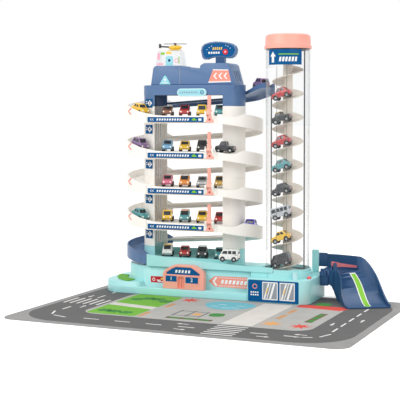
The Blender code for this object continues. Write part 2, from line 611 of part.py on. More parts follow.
def build_roof():
    left, right = end_walls("roof", level(5) + SEAM_UP, EAVE_Z + 0.5, "blue")
    edge = [(0, EAVE_Z), (0, RIM_Z - 1.5), (0.45, RIM_Z - 0.45), (1.5, RIM_Z)]
    around = [(stadium(TRACK_LEFT, TRACK_RIGHT, TRACK_Y, CORE_R + 0.4 - inset), z) for inset, z in edge]
    rim = loft("rim", [[(x, y, z) for x, y in ring] for ring, z in around])
    profile = [(-211, 0), (-210, 10), (-205, 43), (-201, 48), (-142, 48), (-141.4, 45.5), (-120, 44.5),
               (-118, 41), (-98, 41), (-96, 48), (-88, 52.5), (-36, 52), (-31, 48), (-20, 10), (-19, 0)]
    outline = [(x, CROWN_BASE + up) for x, up in profile]
    crown = rounded(prism_y("crown", outline, ROOF_FRONT, ROOF_BACK, "blue"), 1.6)
    roof = add(left, rim, crown, right)
    for y in (-13, -1, 11):
        cut(roof, box("slot", -34, -10, TRACK_Y + y, TRACK_Y + y + 4, CROWN_BASE + 14, CROWN_BASE + 36))
    eave, attic = EAVE_Z - 3.5, CROWN_BASE + 36
    room = [(-198, eave), (-34, eave), (-38, attic - 2), (-94, attic), (-196, attic)]
    stem_z = CROWN_BASE + 39
    front, back = ROOF_FRONT + 9, ROOF_FRONT + 19
    cut(roof, prism_y("hollow", room, ROOF_FRONT + 4, ROOF_BACK - 4),
        box("stem_way", -65.4, -44.6, front - 0.4, back + 0.4, stem_z, stem_z + 25))
    bean = [(0, 19), (2, 28), (8, 33.5), (20, 36.8), (32, 38), (46, 37.5), (60, 35.5), (71, 32.5), (78, 27.5),
            (81, 20), (79.5, 12), (75, 5.5), (68, 2.4), (58, 2.4), (48, 5), (32, 5.2), (23, 3.6), (15, 0.6),
            (7, 0.8), (3, 5.5)]
    corner_x, corner_z = -98, CROWN_BASE + 59.5
    rim = [(corner_x + x, corner_z + z) for x, z in bean]
    board = rounded(prism_y("roof_sign", rim, front - 1.5, back - 1, "sign_blue"), 1.4, segments=1)
    inset = [(corner_x + 40.5 + (x - 40.5) * 0.9, corner_z + 19.5 + (z - 19.5) * 0.84) for x, z in bean]
    cut(board, prism_y("face", inset, front - 4, front - 0.4))
    add(board, box("stem", -65, -45, front, back, stem_z + GAP, stem_z + 27))
    plate = rounded_rect(-145, -79, EAVE_Z - 3.0, EAVE_Z + 13.5, [8.2] * 4, 6)
    wall = TRACK_Y - CORE_R - 0.4 - GAP
    rounded(prism_y("name_plate", plate, wall - 5.2, wall, "cyan"), 0.8, segments=1)


def build_cabin():
    (left, right), (front, back) = CABIN_X, CABIN_Y

    def ring(taper, inset, z):
        x0, x1 = left + taper * 4.5 + inset, right - taper * 4.5 - inset
        y0, y1 = front + taper * 2.0 + inset, back - taper * 2.0 - inset
        return [(x0, y0, z), (x1, y0, z), (x1, y1, z), (x0, y1, z)]

    cabin = rounded(loft("cabin", [ring(0, 0, CABIN_Z), ring(1, 0, CABIN_TOP)], "clear"), 1.2)
    sill, spring = CABIN_Z - 4.3, CABIN_Z + 17.7
    door = [(-178, sill), (-160.5, sill), (-160.5, spring), (-163, spring + 3.5), (-175.5, spring + 3.5),
            (-178, spring)]
    cut(cabin, loft("room", [ring(0, 1.6, sill), ring(1, 1.6, CABIN_TOP - 1.8)]),
        prism_y("doorway", door, front - 3.5, front + 5.5))


def build_helicopter():
    x, y, z = CRAFT_X, CRAFT_Y, CRAFT_Z
    bm = bmesh.new()
    bmesh.ops.create_uvsphere(bm, u_segments=12, v_segments=6, radius=1.0)
    body = Matrix.Translation((x, y, z)) @ Matrix.Diagonal((16, 6.5, 5.0, 1))
    bmesh.ops.transform(bm, matrix=body, verts=bm.verts)
    craft = solid("helicopter", bm, "yellow")
    add(craft, cylinder("tail", (x - 11, y, z + 0.9), (x - 35, y, z + 2.9), 1.7, 10),
        box("fin", x - 38, x - 33, y - 0.8, y + 0.8, z - 0.6, z + 8.4),
        cylinder("mast", (x, y, z + 2.4), (x, y, ROTOR_Z - 1.6), 1.6, 12),
        cylinder("peg", (x, y, z + 5.4), (x, y, ROTOR_Z + 2.0), 1.0, 12))
    foot = CABIN_TOP + 1.3
    for side in (-4.6, 4.6):
        low = y + side
        high = y + side * 0.4
        add(craft, cylinder("skid", (x - 14, low, foot), (x + 13, low, foot), 0.9, 8),
            cylinder("strut", (x - 5, low, foot), (x - 3, high, foot + 3.7), 0.9, 8),
            cylinder("strut", (x + 7, low, foot), (x + 5, high, foot + 3.7), 0.9, 8))
    rotor = cylinder("rotor", (x, y, ROTOR_Z - 1.2), (x, y, ROTOR_Z + 1.2), 3.0, 16, "grey")
    turn = Matrix.Translation(Vector((x, y, 0)) * MM)
    for angle in (20, 110):
        blade = box("blade", -24, 24, -1.9, 1.9, ROTOR_Z - 0.6, ROTOR_Z + 0.6)
        add(rotor, moved(blade, turn @ Matrix.Rotation(math.radians(angle), 4, "Z")))
    cut(rotor, cylinder("bore", (x, y, ROTOR_Z - 11), (x, y, ROTOR_Z + 9), 1.0 + PIN_FIT, 16))
    set_origin(rotor, (x, y, ROTOR_Z))


# The lift

def build_lift():
    shell = tube("lift_tube", LIFT_X, LIFT_Y, TUBE_R, TUBE_R - TUBE_T, TIER_Z + GAP, TUBE_TOP, 48, "clear")
    heading = Vector((-0.714, 0.70, 0)).normalized()
    side = Vector((heading.y, -heading.x, 0))
    start = Vector((*CHUTE_START, 0)) - heading * 26
    half = side * 17.5
    corners = [start - half, start + half, start + half + heading * 60, start - half + heading * 60]
    cut(shell, box("door", LIFT_X - 65, LIFT_X - 3, LIFT_Y - 42.5, LIFT_Y - 13, TIER_Z - 5, TIER_Z + 44),
        prism("exit", [(c.x, c.y) for c in corners], CHUTE_Z - 17, CHUTE_Z + 38))
    rim, inner, bore, seat = TUBE_R + 2.9, TUBE_R + 0.6, JOURNAL_R + PIN_FIT, TUBE_TOP + GAP
    lathe("lift_cap", LIFT_X, LIFT_Y, [
        (TUBE_R - 5.5, CAP_TOP), (TUBE_R - 1.0, CAP_TOP - 2.0), (TUBE_R + 0.7, CAP_TOP - 6.5),
        (TUBE_R + 1.1, TUBE_TOP + 3.0), (rim, TUBE_TOP + 1.5), (rim, CAP_SKIRT), (inner, CAP_SKIRT),
        (inner, seat), (TUBE_R - 3.5, seat), (TUBE_R - 3.5, CAP_TOP - 5.5), (10, CAP_TOP - 5.5),
        (10, TUBE_TOP - 2.0),
        (bore, TUBE_TOP - 2.0), (bore, CAP_TOP - 4.5)], 28, "coral")
    outer = arc(LIFT_X, LIFT_Y, TUBE_R + 1.6, -127, -37, 14)
    sign = outer + arc(LIFT_X, LIFT_Y, TUBE_R + GAP, -37, -127, 14)
    prism("lift_sign", sign, *SIGN_Z, "sign_blue")
    ring_out, ring_in = TUBE_R - 2.1, FLIGHT_R + 1.2
    ring_top = CAP_SKIRT
    cage = tube("guide_cage", LIFT_X, LIFT_Y, ring_out, ring_in, TIER_Z + GAP, TIER_Z + 1.8, 28, "silver")
    top = tube("top_ring", LIFT_X, LIFT_Y, ring_out, ring_in, ring_top - 3, ring_top, 28)
    rods = [cylinder("rod", (x, LIFT_Y, TIER_Z + 1), (x, LIFT_Y, z), ROD_R, 8)
            for x, z in ((LIFT_X - ROD_AT, CHUTE_Z - 14), (LIFT_X + ROD_AT, ring_top - 2))]
    add(cage, rods[0], rods[1], top)


def build_auger():
    """A shaft with one helical flight, made as a single skin: the shaft runs from flight to flight."""
    sides = AUGER_SIDES
    low, high, head_z = TIER_Z + 2.3, TUBE_TOP - 14.0, TUBE_TOP - 8.0
    first = math.radians(-90) + (low + FLIGHT_T - FLIGHT_FRONT_Z) / PITCH * 2 * math.pi
    count = int((high - low) / PITCH * sides)
    bm = bmesh.new()

    def point(index, radius, z):
        angle = first + 2 * math.pi * index / sides
        return bm.verts.new((radius * math.cos(angle), radius * math.sin(angle), z))

    flight = []
    for i in range(count + 1):
        z = low + PITCH * i / sides
        section = ((SHAFT_R, 0), (FLIGHT_R, 0), (FLIGHT_R, FLIGHT_T), (SHAFT_R, FLIGHT_T))
        flight.append([point(i, radius, z + h) for radius, h in section])
    for near, far in zip(flight, flight[1:]):
        for a in range(3):
            bm.faces.new((near[a], near[a + 1], far[a + 1], far[a]))
    for end in (flight[0], flight[-1]):
        bm.faces.new(end)
    for i in range(count - sides):
        bm.faces.new((flight[i][3], flight[i + 1][3], flight[i + 1 + sides][0], flight[i + sides][0]))
    foot = [point(i, SHAFT_R, low - 0.6) for i in range(sides)]
    head = [point(count + i, SHAFT_R, head_z) for i in range(sides)]
    top = flight[count - sides:]
    for i in range(sides):
        start = [flight[i][0]] if i < sides - 1 else [flight[i][0], flight[sides][0], flight[0][3]]
        bm.faces.new([foot[i]] + start + [flight[(i + 1) % sides][0], foot[(i + 1) % sides]])
        last = [top[i][3]] if i else [flight[-1][3], flight[-1][0], top[0][3]]
        bm.faces.new([head[i]] + last + [top[i + 1][3], head[(i + 1) % sides]])
    for rim, heights in ((foot, (low - 1.2, PLATE_Z[0] - 2.5)), (head, (head_z + 1.0, CAP_TOP - 9.5))):
        offset = 0 if rim is foot else count
        for z in heights:
            row = [point(offset + i, JOURNAL_R, z) for i in range(sides)]
            for i in range(sides):
                bm.faces.new((rim[i], rim[(i + 1) % sides], row[(i + 1) % sides], row[i]))
            rim = row
        bm.faces.new(rim)
    auger = solid("auger", bm, "beige")
    auger.location = Vector((LIFT_X, LIFT_Y, 0)) * MM


CARS = (
    ("van", "black"), ("coupe", "yellow"), ("bus", "silver"), ("coupe", "black"),
    ("coupe", "teal"), ("coupe", "red"), ("truck", "black"), ("coupe", "red"),
)

CAR_SIDES = {
    "coupe": [(-19, 4), (19, 4), (19, 9), (16, 12), (9, 13), (4, 19), (-8, 19.5), (-14, 13), (-19, 11.5)],
    "van": [(-19, 4), (19, 4), (19, 10), (16, 13.5), (11, 21), (-17, 21.5), (-19, 18)],
    "bus": [(-19, 4), (19, 4), (19, 12), (17.5, 21), (-18, 21), (-19, 18)],
    "truck": [(-19, 4), (19, 4), (19, 10), (16, 12.5), (11, 13), (7, 20), (-3, 20), (-4, 12), (-19, 12)],
}


def build_cars():
    """Eight cars riding the front of the auger, one on each turn, nose to the left."""
    for index, (kind, finish) in enumerate(CARS):
        name = f"lift_car_{index + 1}"
        half = CAR_WIDTH / 2
        rings = [[(-x, side * half * (1 - max(0, z - 11) * 0.022), z) for x, z in CAR_SIDES[kind]]
                 for side in (-0.93, 0.93)]
        body = loft(name, rings, finish)
        for x in (-WHEEL_AT, WHEEL_AT):
            add(body, cylinder("wheels", (x, -half, WHEEL_R), (x, half, WHEEL_R), WHEEL_R, 10))
        height = FLIGHT_FRONT_Z + CAR_RAISE + index * PITCH
        at = Vector((LIFT_X + CAR_OFFSET[0], LIFT_Y + CAR_OFFSET[1], height)) * MM
        moved(body, Matrix.Translation(at) @ Matrix.Rotation(-CAR_TILT, 4, "Y"))


def build_controls():
    ceiling = MODULE_Z - SHELL - GAP
    low, high = (BUTTON_X, BUTTON_Y, ceiling - 2.2), (BUTTON_X, BUTTON_Y, MODULE_Z + 13.5)
    button = cylinder("start_button", low, high, BUTTON_R, 18, "cyan")
    flange = (BUTTON_X, BUTTON_Y, ceiling - 2.5), (BUTTON_X, BUTTON_Y, ceiling)
    add(button, cylinder("flange", *flange, BUTTON_R + 1.6, 18))
    set_origin(button, (BUTTON_X, BUTTON_Y, MODULE_Z))
    profile = [(4.6, MODULE_Z + GAP), (4.6, MODULE_Z + 2.5), (4.1, MODULE_Z + 3.9), (2.3, MODULE_Z + 5.2)]
    lathe("lamp_left", LIFT_X - 58.5, LIFT_Y + 3, profile, 16, "yellow")
    lathe("lamp_right", LIFT_X + 55, LIFT_Y - 30, profile, 16, "red")


# Exit ramp

def build_exit_ramp():
    """A bridge off the lift's base that bends to the front and falls to the mat."""
    x0, y0 = RAMP_START
    cx, cy = x0, y0 - RAMP_RADIUS
    slope_start = RAMP_RADIUS * SLOPE_FROM
    bend = RAMP_RADIUS * RAMP_TURN
    length = bend + RAMP_STRAIGHT
    stations = []
    for run in [bend * i / 12 for i in range(13)] + [bend + RAMP_STRAIGHT * i / 5 for i in range(1, 6)]:
        angle = min(RAMP_TURN, run / RAMP_RADIUS)
        side = (math.sin(angle), math.cos(angle))
        past = max(0.0, run - bend)
        px = cx + RAMP_RADIUS * side[0] + math.cos(angle) * past
        py = cy + RAMP_RADIUS * side[1] - math.sin(angle) * past
        share = run / length
        fall = max(0.0, (run - slope_start) / (length - slope_start))
        floor = RAMP_TOP_Z - (RAMP_TOP_Z - 4.2) * (0.25 * smooth(fall) + 0.75 * math.sin(fall * math.pi / 2))
        arch = smooth((share - 0.16) / 0.24)
        bottom = (MODULE_Z - 17) * (1 - arch) + BASE_Z * arch
        half = 28 + 17 * smooth((share - 0.1) / 0.9)
        far_up = 27 - 22.0 * smooth((fall - 0.02) / 0.98)
        stations.append(((px, py), side, half, floor, bottom, far_up))
    rings = []
    for (px, py), (sx, sy), half, floor, bottom, far_up in stations:
        under, wall = max(floor - 3, bottom + 0.4), half - 3
        section = [(half, bottom), (half, floor + far_up), (wall, floor + far_up), (wall, floor),
                   (-wall, floor), (-wall, floor + 3), (-half, floor + 3), (-half, bottom),
                   (-wall, bottom), (-wall, under), (wall, under), (wall, bottom)]
        rings.append([(px + sx * r, py + sy * r, z) for r, z in section])
    ramp = loft("exit_ramp", rings, "blue")
    near = BASE_RIGHT + 0.6
    hook = box("hook", near, near + 17.4, LIFT_Y + 19, LIFT_Y + 34, MODULE_Z - 20, MODULE_Z + 2)
    add(ramp, rounded(hook, 1.0, segments=1),
        box("hook", near, near + 13.4, LIFT_Y + 16, LIFT_Y + 40, MODULE_Z, MODULE_Z + 9))


def build_gate():
    """A bar across the top of the slope, hinged on two cheeks at the near edge of the ramp."""
    turn = math.radians(GATE_HEADING)
    ahead = Vector((math.cos(turn), math.sin(turn), 0))
    across = Vector((ahead.y, -ahead.x, 0))
    pivot = Vector((*GATE_AT, RAMP_TOP_Z + GATE_LIFT))
    droop = math.tan(math.radians(GATE_DROOP))
    rings = []
    bar = ((-6, 2.2, -3, 4), (-3, 2.2, -5, 5.5), (7, 2.2, -5, 5), (16, 1.9, -3.4, 3.8),
           (GATE_REACH, 1.6, -2.2, 2.4))
    for reach, half, low, high in bar:
        at = pivot + ahead * reach - Vector((0, 0, reach * droop))
        corners = ((-half, low), (half, low), (half, high), (-half, high))
        rings.append([at + across * a + Vector((0, 0, h)) for a, h in corners])
    gate = loft("exit_gate", rings, "coral")
    cut(gate, cylinder("bore", pivot - across * 6, pivot + across * 6, 1.4 + PIN_FIT, 16))
    ramp = bpy.data.objects["exit_ramp"]
    cheek = [(-4, -GATE_LIFT - 1), (4, -GATE_LIFT - 1), (3.4, 1.5), (1.5, 3.4), (-1.5, 3.4), (-3.4, 1.5)]
    for near in (-2.2 - GAP - 2.6, 2.2 + GAP):
        foots = [pivot + across * a for a in (near, near + 2.6)]
        add(ramp, loft("cheek", [[foot + ahead * s + Vector((0, 0, z)) for s, z in cheek] for foot in foots]))
    add(ramp, cylinder("pin", pivot - across * 4.6, pivot + across * 4.6, 1.4, 12))
    set_origin(gate, pivot)


def main():
    for obj in list(bpy.data.objects):
        bpy.data.objects.remove(obj)
    build_mat()
    build_garage_base()
    build_planter()
    build_service_hall()
    build_lift_base()
    build_power()
    build_storeys()
    build_booms()
    build_ground_deck()
    build_curves()
    build_chute()
    build_roof()
    build_cabin()
    build_helicopter()
    build_lift()
    build_auger()
    build_cars()
    build_controls()
    build_exit_ramp()
    build_gate()


if __name__ == "__main__":
    main()
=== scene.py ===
"""The looks of the toy parking garage: finishes, printed mat, toy cars, stickers, light and camera.

Sizes are in millimetres unless a comment says otherwise. +X runs along the front to the lift, +Y to the
back and +Z up, and the origin is under the middle of the mat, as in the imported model.
"""

import json
import logging
import math
import random
from dataclasses import dataclass, field
from enum import Enum
from typing import Callable, Iterable, Sequence

import bpy
from mathutils import Matrix, Vector

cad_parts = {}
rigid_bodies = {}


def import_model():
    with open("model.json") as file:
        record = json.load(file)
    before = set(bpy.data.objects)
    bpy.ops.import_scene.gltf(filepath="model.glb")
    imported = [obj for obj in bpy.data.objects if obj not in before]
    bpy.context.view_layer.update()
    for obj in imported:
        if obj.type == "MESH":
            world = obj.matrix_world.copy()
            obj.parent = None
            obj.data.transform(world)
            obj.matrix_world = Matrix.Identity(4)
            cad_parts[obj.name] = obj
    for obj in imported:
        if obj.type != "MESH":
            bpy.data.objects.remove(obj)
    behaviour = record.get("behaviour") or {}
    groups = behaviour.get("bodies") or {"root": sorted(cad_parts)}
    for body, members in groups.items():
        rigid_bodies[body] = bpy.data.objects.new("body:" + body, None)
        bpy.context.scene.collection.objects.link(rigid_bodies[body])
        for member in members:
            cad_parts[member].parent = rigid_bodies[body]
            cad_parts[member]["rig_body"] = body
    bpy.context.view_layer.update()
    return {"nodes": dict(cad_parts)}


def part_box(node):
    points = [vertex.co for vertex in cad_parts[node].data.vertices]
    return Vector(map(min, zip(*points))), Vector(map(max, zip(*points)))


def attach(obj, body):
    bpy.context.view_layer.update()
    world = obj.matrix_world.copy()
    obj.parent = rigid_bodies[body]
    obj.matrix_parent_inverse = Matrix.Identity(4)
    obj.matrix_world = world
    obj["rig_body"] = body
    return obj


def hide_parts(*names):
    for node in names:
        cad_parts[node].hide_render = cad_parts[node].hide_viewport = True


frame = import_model()

LOG = logging.getLogger("garage")
MM = 0.001

Pair = tuple[float, float]
Spot = tuple[float, float, float]
Outline = Sequence[Pair]
Object = bpy.types.Object
Socket = bpy.types.NodeSocket

LEVEL_1, LEVEL_PITCH = 76.0, 75.0
LEFT_AXIS = (-202.0, 205.0)
LIFT_AXIS, TUBE_R, AUGER_PITCH = (95.0, 180.0), 45.5, 48.5
MAT_TOP = 1.5
BODY = "garage"


def level(number: int) -> float:
    """Height of a parking floor, level 1 being the lowest."""
    return LEVEL_1 + (number - 1) * LEVEL_PITCH


# Finishes

def add_node(tree: bpy.types.NodeTree, kind: str, inputs: dict[str | int, object],
             **settings: object) -> bpy.types.Node:
    """Adds a node, sets it up and fills its inputs.

    Args:
        tree: where the node goes.
        kind: its type, without the word ShaderNode.
        inputs: a value or another node's output for each input.
        **settings: its own settings.

    Returns:
        The node.
    """
    made = tree.nodes.new(f"ShaderNode{kind}")
    for key, value in settings.items():
        setattr(made, key, value)
    for key, value in inputs.items():
        if isinstance(value, Socket):
            tree.links.new(value, made.inputs[key])
        else:
            made.inputs[key].default_value = value
    return made


class Board:
    """Lays out the nodes of one material on Object coordinates."""

    def __init__(self, name: str) -> None:
        """Starts a material with its shader and coordinates.

        Args:
            name: name of the new material.
        """
        self.material = bpy.data.materials.new(name)
        self.material.use_nodes = True
        self.tree = self.material.node_tree
        self.shader = self.tree.nodes["Principled BSDF"]
        self.place = add_node(self.tree, "TexCoord", {}).outputs["Object"]

    def set(self, **values: float | Sequence[float]) -> None:
        """Sets sockets of the shader; an underscore in a name stands for a space."""
        for name, value in values.items():
            self.shader.inputs[name.replace("_", " ")].default_value = value

    def feed(self, socket: str, source: Socket) -> None:
        """Links a value or colour into the shader."""
        self.tree.links.new(source, self.shader.inputs[socket])

    def noise(self, scale: float, detail: float = 2.0, roughness: float = 0.5,
              stretch: Spot = (1, 1, 1)) -> Socket:
        """Adds a noise pattern.

        Args:
            scale: waves per metre.
            detail: octaves.
            roughness: share of the finer octaves.
            stretch: how much the pattern is squeezed along each axis.

        Returns:
            The pattern's value.
        """
        spot = add_node(self.tree, "Mapping", {"Vector": self.place, "Scale": stretch}).outputs["Vector"]
        inputs = {"Vector": spot, "Scale": scale, "Detail": detail, "Roughness": roughness}
        return add_node(self.tree, "TexNoise", inputs).outputs["Fac"]

    def ranged(self, source: Socket, low: float, high: float, start: float = 0.3, end: float = 0.7) -> Socket:
        """Spreads a value between two bounds.

        Args:
            source: value to spread.
            low: result at the start.
            high: result at the end.
            start: value that gives the low result.
            end: value that gives the high result.

        Returns:
            The spread value.
        """
        inputs = {"From Min": start, "From Max": end, "To Min": low, "To Max": high, "Value": source}
        return add_node(self.tree, "MapRange", inputs).outputs["Result"]

    def tint(self, share: Socket, low: Sequence[float], high: Sequence[float]) -> None:
        """Colours the shader with a mix of two colours, the second where the share is 1."""
        mix = add_node(self.tree, "Mix", {"A": low, "B": high, "Factor": share}, data_type="RGBA")
        self.feed("Base Color", mix.outputs["Result"])

    def gloss(self, pattern: Socket, low: float, high: float) -> None:
        """Spreads the roughness between two bounds over a pattern."""
        self.feed("Roughness", self.ranged(pattern, low, high))

    def bump(self, height: Socket, strength: float, depth: float) -> None:
        """Raises the surface by a pattern, whose depth is in millimetres."""
        inputs = {"Strength": strength, "Distance": depth * MM, "Height": height}
        self.feed("Normal", add_node(self.tree, "Bump", inputs).outputs["Normal"])


@dataclass(frozen=True)
class Look:
    """What each finish has: a name, its colour on screen and, where it isn't the name, its slot."""

    name: str
    colour: tuple[int, int, int]
    slot: str = ""

    def tone(self, factor: float = 1.0) -> Sequence[float]:
        """The colour in linear light, made lighter or darker, with an opaque alpha."""
        return shade(self.colour, factor)

    def drifting(self, board: Board, pattern: Socket, low: float, high: float) -> None:
        """Lets the colour drift between two brightnesses over a pattern."""
        board.tint(board.ranged(pattern, 0.0, 1.0), self.tone(low), self.tone(high))


def shade(colour: tuple[int, int, int], factor: float = 1.0) -> Sequence[float]:
    """Turns an 8-bit screen colour into a linear one.

    Args:
        colour: its shares, 0 to 255.
        factor: how much lighter or darker it becomes.

    Returns:
        The colour in linear light, with an opaque alpha.
    """
    shares = [c / 255 for c in colour]
    linear = [s / 12.92 if s <= 0.04045 else ((s + 0.055) / 1.055) ** 2.4 for s in shares]
    return (*(min(1.0, c * factor) for c in linear), 1.0)


@dataclass(frozen=True)
class MouldedPlastic(Look):
    """Injection-moulded plastic: a slow drift of colour, patchy gloss and a fine tool texture."""

    roughness: float = 0.36
    drift: float = 0.05
    grain: float = 0.10

    def dress(self, board: Board) -> None:
        """Sets the plastic's nodes on a board."""
        self.drifting(board, board.noise(14.0, 3.0), 1 - self.drift, 1 + self.drift)
        board.gloss(board.noise(55.0, 4.0), self.roughness - 0.05, self.roughness + 0.07)
        board.bump(board.noise(1900.0), self.grain, 0.05)
        board.set(Specular_IOR_Level=0.45, IOR=1.5)


@dataclass(frozen=True)
class ClearPlastic(Look):
    """Clear styrene: nearly unseen face on, with a faint tint, moulding ripples and stronger edges, whose grey
    is a painted reflection.
    """

    alpha: float = 0.10
    rim: tuple[int, int, int] = (128, 134, 140)

    def dress(self, board: Board) -> None:
        """Sets the clear plastic's nodes on a board."""
        board.bump(board.noise(30.0, 1.0, stretch=(1, 1, 0.2)), 0.15, 0.4)
        facing = add_node(board.tree, "LayerWeight", {"Blend": 0.28}).outputs["Facing"]
        # Painted reflection: the colour turns grey towards the edges, where the clear wall would mirror its
        # surroundings.
        board.tint(board.ranged(facing, 0.0, 1.0, 0.4, 0.9), self.tone(), shade(self.rim))
        board.feed("Alpha", board.ranged(facing, self.alpha, 0.55, 0.2, 1.0))
        board.set(Roughness=0.06, IOR=1.57, Specular_IOR_Level=0.35)


@dataclass(frozen=True)
class PrintedFilm(Look):
    """A satin sticker or printed plate: ink with a faint dot screen under a clear film."""

    roughness: float = 0.30

    def dress(self, board: Board) -> None:
        """Sets the film's nodes on a board."""
        ink = board.ranged(board.noise(900.0, 1.0), 0.0, 1.0, 0.35, 0.65)
        board.tint(ink, self.tone(0.95), self.tone(1.04))
        board.gloss(board.noise(40.0, 3.0), self.roughness - 0.06, self.roughness + 0.08)
        board.bump(board.noise(160.0), 0.04, 0.08)
        board.set(Specular_IOR_Level=0.12, Coat_Weight=0.04, Coat_Roughness=0.12)


@dataclass(frozen=True)
class CarPaint(Look):
    """Die-cast toy paint: fine flakes under a clear coat."""

    metallic: float = 0.15

    def dress(self, board: Board) -> None:
        """Sets the paint's nodes on a board."""
        flakes = board.ranged(board.noise(2600.0, 1.0), 0.0, 1.0, 0.45, 0.7)
        board.tint(flakes, self.tone(0.93), self.tone(1.12))
        board.gloss(board.noise(120.0), 0.24, 0.34)
        board.set(Metallic=self.metallic, Coat_Weight=0.7, Coat_Roughness=0.06)


@dataclass(frozen=True)
class Glass(Look):
    """Dark toy glass, glossy, with a faint tint from one end to the other."""

    def dress(self, board: Board) -> None:
        """Sets the glass's nodes on a board."""
        self.drifting(board, board.noise(70.0, 1.0), 0.8, 1.25)
        board.gloss(board.noise(300.0), 0.1, 0.16)
        board.set(Coat_Weight=0.5, Coat_Roughness=0.05)


@dataclass(frozen=True)
class Rubber(Look):
    """Matt tyre rubber with a fine grain."""

    def dress(self, board: Board) -> None:
        """Sets the rubber's nodes on a board."""
        self.drifting(board, board.noise(700.0, 3.0), 0.8, 1.3)
        board.gloss(board.noise(250.0), 0.62, 0.8)
        board.bump(board.noise(2400.0), 0.25, 0.08)


@dataclass(frozen=True)
class BrushedMetal(Look):
    """Drawn or plated metal with fine scratches along its length."""

    stretch: Spot = (1, 1, 0.05)
    metallic: float = 0.9

    def dress(self, board: Board) -> None:
        """Sets the metal's nodes on a board."""
        self.drifting(board, board.noise(900.0, 3.0, 0.6, self.stretch), 0.9, 1.1)
        board.gloss(board.noise(700.0, 3.0, 0.6, self.stretch), 0.22, 0.38)
        board.bump(board.noise(1500.0, 2.0, 0.6, self.stretch), 0.08, 0.03)
        board.set(Metallic=self.metallic)


@dataclass(frozen=True)
class MatPrint(Look):
    """Ink on a brushed play mat: a short fibre, a slightly uneven print and no gloss."""

    fibre: float = 0.35

    def dress(self, board: Board) -> None:
        """Sets the mat print's nodes on a board."""
        self.drifting(board, board.noise(28.0, 4.0, 0.6), 0.93, 1.06)
        board.gloss(board.noise(600.0), 0.74, 0.92)
        board.bump(board.noise(1500.0, 3.0, 0.65), self.fibre, 0.12)
        board.set(Specular_IOR_Level=0.3, Sheen_Weight=0.08, Sheen_Roughness=0.5)


@dataclass(frozen=True)
class Turf(Look):
    """Flocked toy lawn: short tufts with light tips."""

    def dress(self, board: Board) -> None:
        """Sets the turf's nodes on a board."""
        self.drifting(board, board.noise(650.0, 4.0, 0.7), 0.62, 1.35)
        board.gloss(board.noise(300.0), 0.7, 0.95)
        board.bump(board.noise(800.0, 4.0, 0.7), 0.8, 0.5)


@dataclass(frozen=True)
class Lens(Look):
    """A coloured lamp lens with moulded flutes and a faint painted glow, as if lit from inside."""

    def dress(self, board: Board) -> None:
        """Sets the lens's nodes on a board."""
        self.drifting(board, board.noise(400.0), 0.85, 1.15)
        board.gloss(board.noise(200.0), 0.1, 0.2)
        board.bump(board.noise(700.0, 1.0), 0.2, 0.1)
        # Painted glow: a faint emission in the lens's own colour, though no lamp shines inside the toy's lens.
        board.set(Emission_Color=self.tone(), Emission_Strength=0.12, Coat_Weight=0.5, Coat_Roughness=0.08)


